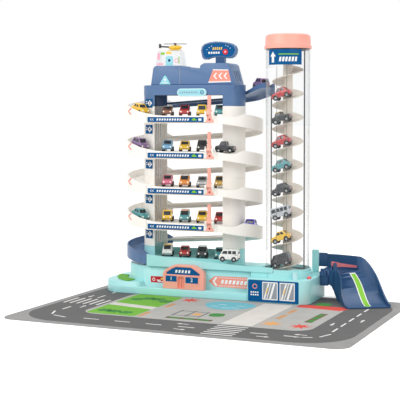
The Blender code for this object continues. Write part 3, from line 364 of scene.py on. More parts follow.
class Finish(Enum):
    """Every finish of the toy."""

    WHITE = MouldedPlastic("white_plastic", (253, 250, 245), "", 0.34, 0.015)
    CYAN = MouldedPlastic("cyan_plastic", (170, 231, 233), "", 0.34, 0.03)
    PALE_CYAN = MouldedPlastic("pale_cyan_plastic", (196, 238, 244), "cyan_plastic", 0.34, 0.03)
    BLUE = MouldedPlastic("blue_plastic", (84, 116, 160))
    RAMP_BLUE = MouldedPlastic("ramp_blue_plastic", (38, 78, 122), "blue_plastic", 0.36, 0.06)
    CORAL = MouldedPlastic("coral_plastic", (255, 176, 160), "", 0.36, 0.04)
    ROSE = MouldedPlastic("rose_plastic", (206, 112, 118), "coral_plastic")
    DARK_RED = MouldedPlastic("dark_red_plastic", (150, 52, 58), "coral_plastic")
    BEIGE = MouldedPlastic("beige_plastic", (224, 216, 204), "", 0.40, 0.04)
    GREY = MouldedPlastic("grey_plastic", (96, 97, 100), "", 0.45, 0.06)
    CHARCOAL = MouldedPlastic("charcoal_plastic", (60, 56, 56), "grey_plastic", 0.4, 0.08)
    YELLOW = MouldedPlastic("yellow_plastic", (248, 202, 60), "", 0.34)
    CLEAR = ClearPlastic("clear_plastic", (236, 243, 246))
    CLEAR_TUBE = ClearPlastic("clear_tube", (226, 232, 238), "clear_plastic", 0.03)
    # Painted reflection lines on the clear tube: grey clear plastic, half opaque.
    CLEAR_SEAM = ClearPlastic("clear_seam", (128, 134, 130), "clear_plastic", 0.5)
    STEEL = BrushedMetal("rod_steel", (62, 64, 70), metallic=0.35)
    CELL = BrushedMetal("cell_metal", (188, 188, 192), stretch=(0.05, 1, 1))
    YELLOW_LENS = Lens("yellow_lens", (250, 196, 70), "lens_yellow")
    RED_LENS = Lens("red_lens", (226, 74, 78), "lens_red")
    TURF = Turf("turf", (112, 178, 62), "green_plastic")
    FILM_BLUE = PrintedFilm("film_blue", (2, 88, 146), "sign_blue")
    FILM_NAVY = PrintedFilm("film_navy", (30, 68, 120), "sign_blue")
    FILM_WHITE = PrintedFilm("film_white", (246, 247, 248), "white_plastic")
    FILM_CORAL = PrintedFilm("film_coral", (246, 156, 140), "coral_plastic")
    FILM_RED = PrintedFilm("film_red", (206, 40, 52), "coral_plastic")
    FILM_LIME = PrintedFilm("film_lime", (132, 200, 54), "green_plastic")
    FILM_YELLOW = PrintedFilm("film_yellow", (250, 206, 92), "yellow_plastic")
    FILM_CYAN = PrintedFilm("film_cyan", (158, 220, 234), "cyan_plastic")
    FILM_PINK = PrintedFilm("film_pink", (244, 176, 196), "coral_plastic")
    FILM_GREY = PrintedFilm("film_grey", (150, 158, 166), "grey_plastic")
    FILM_BROWN = PrintedFilm("film_brown", (150, 112, 84), "grey_plastic")
    MAT_GREY = MatPrint("mat_grey", (148, 148, 149), "mat")
    MAT_ROAD = MatPrint("mat_road", (88, 88, 89), "mat")
    MAT_PAVING = MatPrint("mat_paving", (176, 176, 174), "mat")
    MAT_WHITE = MatPrint("mat_white", (236, 236, 236), "mat")
    MAT_PATH = MatPrint("mat_path", (216, 212, 208), "mat")
    MAT_LAWN = MatPrint("mat_lawn", (108, 178, 34), "mat")
    MAT_BUSH = MatPrint("mat_bush", (46, 132, 40), "mat")
    MAT_POND = MatPrint("mat_pond", (106, 188, 206), "mat")
    MAT_ORANGE = MatPrint("mat_orange", (232, 164, 84), "mat")
    MAT_TAN = MatPrint("mat_tan", (200, 148, 98), "mat")
    MAT_RED = MatPrint("mat_red", (216, 62, 48), "mat")
    MAT_BROWN = MatPrint("mat_brown", (104, 74, 56), "mat")
    PAINT_BLACK = CarPaint("paint_black", (44, 46, 52))
    PAINT_YELLOW = CarPaint("paint_yellow", (246, 198, 46))
    PAINT_SILVER = CarPaint("paint_silver", (190, 194, 200), "", 0.5)
    PAINT_TEAL = CarPaint("paint_teal", (84, 158, 164))
    PAINT_RED = CarPaint("paint_red", (190, 48, 52))
    PAINT_WHITE = CarPaint("paint_white", (238, 238, 236), "paint_silver")
    PAINT_BROWN = CarPaint("paint_brown", (146, 92, 66), "paint_silver")
    PAINT_BLUE = CarPaint("paint_blue", (118, 176, 216), "paint_silver")
    PAINT_INDIGO = CarPaint("paint_indigo", (62, 44, 186), "paint_silver")
    PAINT_PINK = CarPaint("paint_pink", (226, 116, 148), "paint_silver")
    PAINT_ORANGE = CarPaint("paint_orange", (236, 146, 62), "paint_silver")
    PAINT_GOLD = CarPaint("paint_gold", (206, 170, 84), "paint_silver", 0.4)
    PAINT_PURPLE = CarPaint("paint_purple", (142, 112, 158), "paint_silver")
    CAR_GLASS = Glass("car_glass", (38, 44, 52))
    TYRE = Rubber("tyre", (38, 38, 40))
    RIM = BrushedMetal("wheel_rim", (186, 188, 192), "", (1, 1, 1), 0.5)
    HEADLAMP = Lens("headlamp", (250, 246, 226))
    TAIL_LAMP = Lens("tail_lamp", (200, 34, 36))

    def material(self) -> bpy.types.Material:
        """The finish's material, made on first use under a name that no CAD material has."""
        name = f"{self.value.name}_finish"
        if name not in bpy.data.materials:
            self.value.dress(Board(name))
        return bpy.data.materials[name]


# Modelling

class Face(Enum):
    """The plane of a flat outline."""

    UP = "outline in X and Y, thickness along Z"
    FRONT = "outline in X and Z, thickness along Y"

    def spot(self, across: float, along: float, deep: float) -> Vector:
        """A point of the outline at a depth, in metres."""
        return Vector((across, along, deep) if self is Face.UP else (across, deep, along)) * MM


def pick(*objects: Object) -> Object:
    """Selects these objects and nothing else.

    Args:
        *objects: objects to select; the first becomes the active one.

    Returns:
        The active object.
    """
    bpy.ops.object.select_all(action="DESELECT")
    for obj in objects:
        obj.select_set(True)
    bpy.context.view_layer.objects.active = objects[0]
    return objects[0]


def named(obj: Object, name: str) -> Object:
    """Gives an object and its mesh one name."""
    obj.name = obj.data.name = name
    return obj


def settled(obj: Object) -> Object:
    """Moves an object's place, turn and size into its mesh.

    Args:
        obj: the object.

    Returns:
        The same object.
    """
    pick(obj)
    bpy.ops.object.transform_apply(location=True, rotation=True, scale=True)
    return obj


def twin(source: Object) -> Object:
    """Copies an object and its mesh into the scene.

    Args:
        source: the object.

    Returns:
        The copy.
    """
    made = source.copy()
    made.data = source.data.copy()
    bpy.context.scene.collection.objects.link(made)
    return made


def copied(source: Object, name: str, offset: Spot) -> Object:
    """Copies a piece and moves the copy.

    Args:
        source: the piece.
        name: name of the copy.
        offset: how far it is moved.

    Returns:
        The copy, with its place in its mesh.
    """
    made = twin(source)
    made.location = Vector(offset) * MM
    return named(settled(made), name)


def primitive(kind: str, **settings: object) -> Object:
    """Adds one of Blender's meshes, to be shaped further.

    Args:
        kind: its name in bpy.ops.mesh, between primitive_ and _add.
        **settings: its settings, with lengths in metres.

    Returns:
        The new object, which is the only one selected.
    """
    bpy.ops.object.select_all(action="DESELECT")
    getattr(bpy.ops.mesh, f"primitive_{kind}_add")(**settings)
    return bpy.context.active_object


def opened(obj: Object, kind: str = "VERT", action: str = "SELECT") -> Object:
    """Opens a mesh for editing.

    Args:
        obj: the object.
        kind: what its selection is made of, VERT, EDGE or FACE.
        action: SELECT or DESELECT for all of it.

    Returns:
        The object, in edit mode.
    """
    pick(obj)
    bpy.ops.object.mode_set(mode="EDIT")
    bpy.ops.mesh.select_mode(type=kind)
    bpy.ops.mesh.select_all(action=action)
    return obj


def outward() -> None:
    """Turns all faces of the open mesh outwards and closes it."""
    bpy.ops.mesh.select_all(action="SELECT")
    bpy.ops.mesh.normals_make_consistent(inside=False)
    bpy.ops.object.mode_set(mode="OBJECT")


def modified(obj: Object, kind: str, **settings: object) -> Object:
    """Adds a modifier and applies it.

    Args:
        obj: object to change.
        kind: Blender's name of the modifier.
        **settings: its settings.

    Returns:
        The same object.
    """
    modifier = obj.modifiers.new(kind.title(), kind)
    for key, value in settings.items():
        setattr(modifier, key, value)
    pick(obj)
    bpy.ops.object.modifier_apply(modifier=modifier.name)
    return obj


def softened(obj: Object, width: float, segments: int = 2, angle: float = 35.0) -> Object:
    """Rounds the sharp edges of an object by a width in millimetres."""
    return modified(obj, "BEVEL", width=width * MM, segments=segments, limit_method="ANGLE",
                    angle_limit=math.radians(angle), use_clamp_overlap=True)


def cut(obj: Object, *cutters: Object) -> Object:
    """Cuts objects away from another.

    Args:
        obj: object to cut.
        *cutters: objects that take away; they are deleted.

    Returns:
        The same object.
    """
    for cutter in cutters:
        modified(obj, "BOOLEAN", object=cutter, operation="DIFFERENCE", solver="EXACT")
        bpy.data.objects.remove(cutter)
    return obj


def joined(name: str, pieces: Sequence[Object]) -> Object:
    """Joins pieces into one object.

    Args:
        name: its name.
        pieces: the pieces, which are used up.

    Returns:
        The object.
    """
    pick(*pieces)
    if len(pieces) > 1:
        bpy.ops.object.join()
    return named(pieces[0], name)


def plate(name: str, outline: Outline, low: float, high: float, face: Face = Face.UP) -> Object:
    """Extrudes a flat outline into a closed plate.

    Args:
        name: name of the plate.
        outline: corners in order.
        low: start of the thickness.
        high: end of the thickness.
        face: plane of the outline.

    Returns:
        The plate.
    """
    made = primitive("circle", vertices=len(outline), fill_type="NGON")
    for vertex, (across, along) in zip(made.data.vertices, outline):
        vertex.co = face.spot(across, along, low)
    opened(made)
    bpy.ops.mesh.extrude_region_move(TRANSFORM_OT_translate={"value": face.spot(0, 0, high - low)})
    outward()
    return named(made, name)


def inked(name: str, outlines: Iterable[Outline], low: float, high: float) -> Object:
    """Joins front plates of one thickness, one for each outline."""
    return joined(name, [plate(name, outline, low, high, Face.FRONT) for outline in outlines])


def cylinder(radius: float, spot: Spot, depth: float, turn: Spot = (0, 0, 0), sides: int = 20) -> Object:
    """A plain cylinder to be shaped further.

    Args:
        radius: its radius.
        spot: its centre.
        depth: its length along its own Z.
        turn: its turn in degrees.
        sides: corners of its rim.

    Returns:
        The cylinder, with its place in its mesh.
    """
    return settled(primitive("cylinder", vertices=sides, radius=radius * MM, depth=depth * MM,
                             location=Vector(spot) * MM, rotation=[math.radians(t) for t in turn]))


def disc(name: str, spot: Spot, radius: float, thick: float, turn: Spot = (90, 0, 0),
         sides: int = 24) -> Object:
    """A cylinder with a softened rim, under a name, facing the front unless turned."""
    return named(softened(cylinder(radius, spot, thick, turn, sides), min(0.3, thick * 0.3), 1), name)


def arc(cx: float, cy: float, radius: float, start: float, end: float, steps: int) -> list[Pair]:
    """Points along an arc.

    Args:
        cx: centre, first coordinate.
        cy: centre, second coordinate.
        radius: its radius.
        start: first angle in degrees.
        end: last angle in degrees.
        steps: stretches between the points.

    Returns:
        The points, one more than the steps.
    """
    angles = [math.radians(start + (end - start) * i / steps) for i in range(steps + 1)]
    return [(cx + radius * math.cos(a), cy + radius * math.sin(a)) for a in angles]


def ring(cx: float, cy: float, outer: float, inner: float, steps: int = 16) -> list[Pair]:
    """An open ring round a centre, between two radii."""
    return arc(cx, cy, outer, 0, 345, steps) + arc(cx, cy, inner, 345, 0, steps)


def slab(x0: float, x1: float, y0: float, y1: float, radius: float = 0.0, steps: int = 5) -> list[Pair]:
    """A rectangle with rounded corners.

    Args:
        x0: lowest first coordinate.
        x1: highest first coordinate.
        y0: lowest second coordinate.
        y1: highest second coordinate.
        radius: radius of the corners.
        steps: stretches in each corner.

    Returns:
        Its corners in order.
    """
    if radius <= 0:
        return [(x0, y0), (x1, y0), (x1, y1), (x0, y1)]
    corners = ((x1 - radius, y0 + radius, -90), (x1 - radius, y1 - radius, 0),
               (x0 + radius, y1 - radius, 90), (x0 + radius, y0 + radius, 180))
    return [p for cx, cy, start in corners for p in arc(cx, cy, radius, start, start + 90, steps)]


def polar(count: int, radius: Callable[[int, float], float]) -> list[Pair]:
    """Points round the origin, each at the radius that its number and angle give."""
    turns = [(i, math.tau * i / count) for i in range(count)]
    return [(radius(i, a) * math.cos(a), radius(i, a) * math.sin(a)) for i, a in turns]


def chevron(cx: float, cy: float, width: float, height: float, thick: float) -> list[Pair]:
    """An arrow head pointing to lower first coordinates.

    Args:
        cx: centre, first coordinate.
        cy: centre, second coordinate.
        width: its length from tip to tail.
        height: its span across.
        thick: thickness of its arms.

    Returns:
        Its outline.
    """
    tip, tail = cx - width / 2, cx + width / 2
    return [(tip, cy), (tail - thick, cy - height / 2), (tail, cy - height / 2), (tip + thick, cy),
            (tail, cy + height / 2), (tail - thick, cy + height / 2)]


def arrow(length: float, width: float, head: float) -> list[Pair]:
    """A straight centred arrow along the first coordinate.

    Args:
        length: its length.
        width: width of its stem.
        head: width and length of its head.

    Returns:
        Its outline.
    """
    half, stem = length / 2, width / 2
    neck = half - head
    return [(-half, -stem), (neck, -stem), (neck, -head / 2), (half, 0), (neck, head / 2), (neck, stem),
            (-half, stem)]


def bars(start: float, stop: float, step: float, low: float, high: float, width: float,
         slant: float = 0.0) -> list[Outline]:
    """A row of upright or slanted bars.

    Args:
        start: left end of the first bar.
        stop: where the row ends.
        step: from one bar to the next.
        low: lower edge.
        high: upper edge.
        width: width of a bar.
        slant: how far its top leans to the right.

    Returns:
        The outline of each bar.
    """
    count = int((stop - start) // step) + 1
    return [[(x, low), (x + width, low), (x + width + slant, high), (x + slant, high)]
            for x in (start + step * i for i in range(count))]


def numeral(name: str, number: int, middle: Pair, height: float, low: float, high: float) -> Object:
    """A numeral on a front face, as a plate.

    Args:
        name: name of the plate.
        number: what it says.
        middle: its middle in X and Z.
        height: height of the figure.
        low: start of its thickness in Y.
        high: end of its thickness.

    Returns:
        The plate.
    """
    bpy.ops.object.select_all(action="DESELECT")
    bpy.ops.object.text_add(rotation=(math.pi / 2, 0, 0))
    text = bpy.context.active_object.data
    text.body, text.size, text.offset = str(number), height * 1.38 * MM, 0.02 * height * MM
    text.align_x, text.align_y, text.resolution_u = "CENTER", "CENTER", 3
    text.extrude = (high - low) / 2 * MM
    bpy.ops.object.convert(target="MESH")
    made = bpy.context.active_object
    made.location = Vector((middle[0], (low + high) / 2, middle[1])) * MM
    return named(settled(made), name)


def wrapped(obj: Object, centre: Pair, radius: float, angle: float, strip: float = 3.0) -> Object:
    """Cuts a flat front piece into strips and wraps it round an upright cylinder.

    Args:
        obj: the piece, its X measured from the middle of the wrap and its Y inwards from the surface.
        centre: axis of the cylinder.
        radius: its radius.
        angle: direction of the middle of the piece, in degrees from +X.
        strip: width of a strip.

    Returns:
        The same piece.
    """
    count = int(max(abs(v.co.x) for v in obj.data.vertices) / MM // strip)
    opened(obj)
    for index in range(-count, count + 1):
        bpy.ops.mesh.select_all(action="SELECT")
        bpy.ops.mesh.bisect(plane_co=((index * strip + 0.013) * MM, 0, 0), plane_no=(1, 0, 0))
    bpy.ops.object.mode_set(mode="OBJECT")
    for vertex in obj.data.vertices:
        turn = math.radians(angle) + vertex.co.x / (radius * MM)
        out = radius * MM - vertex.co.y
        vertex.co.x = centre[0] * MM + out * math.cos(turn)
        vertex.co.y = centre[1] * MM + out * math.sin(turn)
    return obj


def dressed(obj: Object, finish: Finish, body: str = BODY, replaces: Sequence[str] = (),
            smooth: float = 30.0) -> Object:
    """Gives a finished piece its material and body.

    Args:
        obj: the piece.
        finish: its finish, for all of it where it has no material yet.
        body: the body that it rides on.
        replaces: CAD nodes that it stands for.
        smooth: edges flatter than this angle in degrees are shaded smooth.

    Returns:
        The piece.
    """
    if not [m for m in obj.data.materials if m]:
        obj.data.materials.clear()
        obj.data.materials.append(finish.material())
    pick(obj)
    bpy.ops.object.shade_smooth_by_angle(angle=math.radians(smooth))
    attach(obj, body)
    if replaces:
        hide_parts(*replaces)
    LOG.info("%s rides on %s in %s", obj.name, body, finish.value.name)
    return obj


# The rigid shells

@dataclass
class Shells:
    """The moulded parts, as copies of the CAD nodes with merged points and whole faces."""

    merge: float = 0.002
    flatness: float = 0.5
    smooth: float = 32.0
    hidden: dict[Finish, tuple[str, ...]] = field(default_factory=lambda: {
        Finish.CYAN: ("battery_cover",), Finish.CELL: ("battery_1", "battery_2", "lift_motor"),
        Finish.GREY: ("gear_plate",), Finish.BEIGE: ("motor_pinion", "auger_gear")})
    shown: dict[Finish, tuple[str, ...]] = field(default_factory=lambda: {
        Finish.CYAN: ("garage_base", "lift_base", "ground_deck"),
        Finish.PALE_CYAN: ("name_plate", "start_button"),
        Finish.BLUE: ("left_curve_1", "back_run_top", "chute", "roof"), Finish.RAMP_BLUE: ("exit_ramp",),
        Finish.CORAL: ("service_hall", "lift_cap", "boom"), Finish.ROSE: ("exit_gate",),
        Finish.CLEAR: ("cabin",), Finish.CLEAR_TUBE: ("lift_tube",), Finish.FILM_BLUE: ("lift_sign",),
        Finish.STEEL: ("guide_cage",), Finish.YELLOW: ("helicopter",), Finish.CHARCOAL: ("rotor",),
        Finish.YELLOW_LENS: ("lamp_left",), Finish.RED_LENS: ("lamp_right",), Finish.TURF: ("planter_lawn",),
        Finish.WHITE: ("storey", "left_curve", "right_curve", "back_run")})

    def finish_of(self, node: str) -> Finish | None:
        """The finish of a CAD node, or None where another class makes its piece."""
        return next((finish for finish, starts in self.shown.items() if node.startswith(starts)), None)

    def copy_of(self, node: str) -> Object:
        """Copies a CAD node, merges its loose triangles and makes its flat faces whole.

        Args:
            node: name of the node.

        Returns:
            The copy.
        """
        made = twin(frame["nodes"][node])
        made.parent = None
        for key in list(made.keys()):
            del made[key]
        made.data.materials.clear()
        opened(made)
        bpy.ops.mesh.remove_doubles(threshold=self.merge * MM)
        bpy.ops.mesh.dissolve_limited(angle_limit=math.radians(self.flatness))
        bpy.ops.object.mode_set(mode="OBJECT")
        return named(made, f"{node}_shell")

    def two_tone(self, shell: Object) -> None:
        """Paints the tail and the upper half of the helicopter dark.

        Args:
            shell: the helicopter's shell.
        """
        low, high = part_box("helicopter")
        shell.data.materials.append(Finish.CHARCOAL.material())
        for face in shell.data.polygons:
            over = (face.center.z - low[2]) / (high[2] - low[2])
            along = (face.center.x - low[0]) / (high[0] - low[0])
            face.material_index = int(along < 0.5 or over > 0.62 and along < 0.75)

    def build(self) -> None:
        """Makes every shell and finishes the hidden nodes that stay."""
        for finish, nodes in self.hidden.items():
            for node in nodes:
                mesh = frame["nodes"][node].data
                mesh.materials.clear()
                mesh.materials.append(finish.material())
        for node in sorted(frame["nodes"]):
            finish = self.finish_of(node)
            if finish:
                body = frame["nodes"][node]["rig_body"]
                shell = dressed(self.copy_of(node), finish, body, [node], self.smooth)
                if node == "helicopter":
                    self.two_tone(shell)


# The printed play mat

@dataclass
class PlayMat:
    """A brushed mat with a ring road, lawns, a pond, paving and a plaza printed on it."""

    size: Pair = (670.0, 465.0)
    corner: float = 28.0
    turn: float = -2.0
    road_margin: float = 15.0
    road_width: float = 94.0
    road_bend: float = 92.0
    sunk: float = 0.2
    layer: float = 0.055
    pieces: list[Object] = field(default_factory=list)

    def turned(self, obj: Object) -> Object:
        """Turns a piece with the mat."""
        obj.rotation_euler = (0, 0, math.radians(self.turn))
        return settled(obj)

    def ink(self, name: str, outline: Outline, layer: int, finish: Finish,
            places: Sequence[Spot] = ((0, 0, 0),)) -> None:
        """Prints an outline at a layer, once or at several places.

        Args:
            name: name of the print.
            outline: its shape, round the origin where it has places.
            layer: 1 on the mat itself, more on other prints.
            finish: its ink.
            places: X, Y and turn in degrees of each copy.
        """
        source = plate(name, outline, MAT_TOP - self.sunk, MAT_TOP + layer * self.layer)
        copies = []
        for x, y, turn in places:
            copy = twin(source)
            copy.location = (x * MM, y * MM, 0)
            copy.rotation_euler = (0, 0, math.radians(turn))
            copies.append(settled(copy))
        bpy.data.objects.remove(source)
        self.pieces.append(dressed(named(self.turned(joined(name, copies)), name), finish))

    def road(self) -> None:
        """Prints the ring road, its dashes, its arrows and its crossings."""
        x, y = (side / 2 - self.road_margin for side in self.size)
        wide, bend = self.road_width, self.road_bend
        self.ink("mat_ring_road", slab(-x, x, -y, y, bend, 12), 1, Finish.MAT_ROAD)
        ground = slab(-x + wide, x - wide + 8, -y + wide, y - wide, 34, 8)
        self.ink("mat_inner_ground", ground, 2, Finish.MAT_PAVING)
        lane_x, lane_y = x - wide / 2, y - wide / 2
        dashes = [(u, -lane_y, 0) for u in (-172, -107, -43, 22, 160, 222)]
        dashes += [(-lane_x, v, 90) for v in (-90, 50, 114, 178)]
        dashes += [(lane_x, v, 90) for v in range(-90, 171, 52)]
        for side in (-1, 1):
            for turn in (20, 74):
                u, v = arc(x - bend, -y + bend, bend / 2, -turn, -turn, 1)[0]
                dashes.append((side * u, v, side * (90 - turn)))
        self.ink("mat_lane_dashes", slab(-16, 16, -1.8, 1.8), 2, Finish.MAT_WHITE, dashes)
        arrows = [(19, -lane_y - 22, 0), (4, -lane_y + 24, 180), (176, -lane_y - 22, 0),
                  (230, -lane_y + 18, 180), (-lane_x - 22, 46, -90), (-lane_x + 22, -64, 90),
                  (lane_x + 22, 10, 90), (lane_x - 20, -40, -90)]
        self.ink("mat_lane_arrows", arrow(24, 3.0, 9.0), 2, Finish.MAT_WHITE, arrows)
        steps = [7.5 * i for i in range(-5, 6, 2)]
        stripes = [(96, -lane_y + s, 0) for s in steps] + [(-lane_x + s, -9, 90) for s in steps]
        self.ink("mat_crossings", slab(-30, 30, -2.3, 2.3), 2, Finish.MAT_WHITE, stripes)

    def gardens(self) -> None:
        """Prints the lawn with its round bushes and its path, and the pond."""
        self.ink("mat_lawn", slab(-216, -112, -116, 110, 8, 4), 3, Finish.MAT_LAWN)
        self.ink("mat_lawn_path", [(-216, -22), (-112, -40), (-112, -14), (-216, 4)], 4, Finish.MAT_PATH)
        rng = random.Random(7)
        bushes = [(-190 + 22 * i + rng.uniform(-4, 4), 66 + rng.uniform(-18, 22), rng.uniform(0, 60))
                  for i in range(4)]
        bushes += [(-192 + 24 * i + rng.uniform(-4, 4), -88 + rng.uniform(-6, 10), rng.uniform(0, 60))
                   for i in range(3)]
        leaf = polar(24, lambda i, a: 14.0 + 2.6 * math.cos(a * 6))
        self.ink("mat_bushes", leaf, 4, Finish.MAT_BUSH, bushes)
        pond = [(x * 1.16 + 10, y + 60) for x, y in polar(28, lambda i, a: 44.0 + 3.0 * math.sin(a * 3))]
        self.ink("mat_pond", pond, 3, Finish.MAT_POND)
        ripples = [(-14, 44, 8), (34, 62, -6), (12, 34, 4), (-6, 66, 5), (30, 40, -4)]
        self.ink("mat_ripples", slab(-9, 9, -1.1, 1.1, 1.0, 2), 4, Finish.MAT_WHITE, ripples)

    def plaza(self) -> None:
        """Prints the pale plaza, its planters, the benches and the play spots."""
        self.ink("mat_plaza", slab(66, 126, -116, 112), 3, Finish.MAT_PATH)
        self.ink("mat_planters", slab(-47, 47, -7.5, 7.5), 3, Finish.MAT_BROWN, [(208, 4, 88), (-6, -98, 0)])
        greens = [(208, 4 + s, 88) for s in (-29, 0, 29)] + [(-6 + s, -98, 0) for s in (-29, 0, 29)]
        self.ink("mat_planter_green", slab(-12, 12, -5, 5, 4, 3), 4, Finish.MAT_BUSH, greens)
        benches = [(145, 50, 88), (145, -10, 88), (-98, 14, 90), (-104, -86, 90)]
        self.ink("mat_benches", slab(-22, 22, -5, 5), 3, Finish.MAT_TAN, benches)
        star = polar(16, lambda i, a: 9.0 if i % 2 else 24.0)
        self.ink("mat_play_spots_orange", star, 3, Finish.MAT_ORANGE, [(150, -78, 10)])
        self.ink("mat_play_spots_red", star, 3, Finish.MAT_RED, [(206, -82, 25), (-86, 86, 12)])
        strip = [(136, 100), (228, 92), (238, 112), (238, 130), (136, 130)]
        self.ink("mat_red_strip", strip, 4, Finish.MAT_RED)
        shrub = slab(-15, 15, -17, 17, 12, 5)
        self.ink("mat_shrubs", shrub, 3, Finish.MAT_BUSH, [(27, -42, 8), (178, 147, 4)])
        lines = [(-24, -28, 0), (-24, -72, 0), (-52, -50, 90), (4, -50, 90), (-24, -50, 90)]
        self.ink("mat_court", slab(-28, 28, -1.6, 1.6), 3, Finish.MAT_ROAD, lines)
        self.ink("mat_court_middle", slab(-8, 8, -9, 9, 3, 3), 4, Finish.MAT_ORANGE, [(-10, -50, 0)])

    def build(self) -> None:
        width, depth = self.size
        outline = slab(-width / 2, width / 2, -depth / 2, depth / 2, self.corner, 10)
        felt = self.turned(softened(plate("play_mat_felt", outline, 0.0, MAT_TOP), 0.3))
        dressed(felt, Finish.MAT_GREY, replaces=["play_mat"])
        self.road()
        self.gardens()
        self.plaza()


# The toy cars

@dataclass(frozen=True)
class CarShape:
    """The side view of one kind of car, nose towards lower X, over its wheels' ground."""

    hull: Outline
    side_glass: Sequence[Outline]
    end_glass: Sequence[Outline]
    cabin: Outline


class CarKind(Enum):
    """The shapes of toy car."""

    COUPE = CarShape(
        [(19, 4), (19, 11.5), (14, 13), (8, 19.5), (-4, 19), (-9, 13), (-16, 12), (-19, 9), (-19, 4)],
        [[(10, 13.4), (7, 17.9), (2.6, 17.8), (2.6, 13.4)],
         [(1.4, 13.4), (1.4, 17.8), (-3.6, 17.5), (-7, 13.4)]],
        [[(-9.6, 13.4), (-5.2, 18.2), (-3, 17), (-6, 12.6)], [(14.4, 13.6), (9, 19.2), (7, 17.2), (11, 13)]],
        [(12.6, 12), (7.4, 18.8), (-3.6, 18.4), (-8.2, 12)])
    VAN = CarShape(
        [(19, 4), (19, 18), (17, 21.5), (-11, 21), (-16, 13.5), (-19, 10), (-19, 4)],
        [[(16, 13.6), (15.4, 19.2), (8, 19.2), (8, 13.6)],
         [(6.6, 13.6), (6.6, 19.2), (-0.6, 19.2), (-0.6, 13.6)],
         [(-2, 13.6), (-2, 19.1), (-10, 18.8), (-13.6, 13.6)]],
        [[(-16.6, 13.4), (-11.8, 20.2), (-9, 19), (-13, 12.6)],
         [(19.6, 13.4), (19.6, 17.6), (17.4, 17.6), (17.4, 13.4)]],
        [(18.3, 12), (18.2, 18), (16.4, 20.7), (-10.4, 20.3), (-15.2, 12.6)])
    BUS = CarShape(
        [(19, 4), (19, 18), (18, 21), (-17.5, 21), (-19, 12), (-19, 4)],
        [[(16.5, 12.4), (16.5, 18.4), (10, 18.4), (10, 12.4)], [(8.6, 12.4), (8.6, 18.4), (2, 18.4), (2, 12.4)],
         [(0.6, 12.4), (0.6, 18.4), (-6, 18.4), (-6, 12.4)],
         [(-7.4, 12.4), (-7.4, 18.4), (-15.6, 18.4), (-16.6, 12.4)]],
        [[(-19.8, 12), (-18.6, 19), (-16.6, 19), (-17.6, 12)],
         [(19.7, 12.6), (19.7, 17.6), (17.4, 17.6), (17.4, 12.6)]],
        [(18.3, 11), (18.3, 18), (17.4, 20.3), (-17, 20.3), (-18.3, 11)])
    TRUCK = CarShape(
        [(19, 4), (19, 12), (4, 12), (3, 20), (-7, 20), (-11, 13), (-16, 12.5), (-19, 10), (-19, 4)],
        [[(1.4, 13.2), (1.2, 18.2), (-5.8, 18.2), (-8.6, 13.2)]],
        [[(-11.6, 13.2), (-7.6, 19.2), (-5.2, 18), (-8.6, 12.4)],
         [(4.6, 13.4), (4.2, 18.4), (2, 18.4), (2, 13.4)]],
        [(3.2, 12), (2.4, 19.3), (-6.6, 19.3), (-10, 12.4)])
    HATCH = CarShape(
        [(17, 4), (18.4, 12), (15, 19), (12, 20.6), (-5, 20.4), (-10, 13.6), (-16.5, 12), (-18, 9), (-18, 4)],
        [[(13.2, 13.6), (11.6, 18.6), (4.4, 18.8), (4.4, 13.6)],
         [(3, 13.6), (3, 18.8), (-4.2, 18.6), (-7.8, 13.6)]],
        [[(-10.8, 13.8), (-6, 19.8), (-3.8, 18.4), (-7.2, 12.8)],
         [(18.6, 13.2), (15.8, 18.4), (13.4, 17.4), (16, 12.8)]],
        [(16.6, 12), (13.6, 18.6), (11.6, 19.8), (-4.4, 19.6), (-9.2, 12.4)])


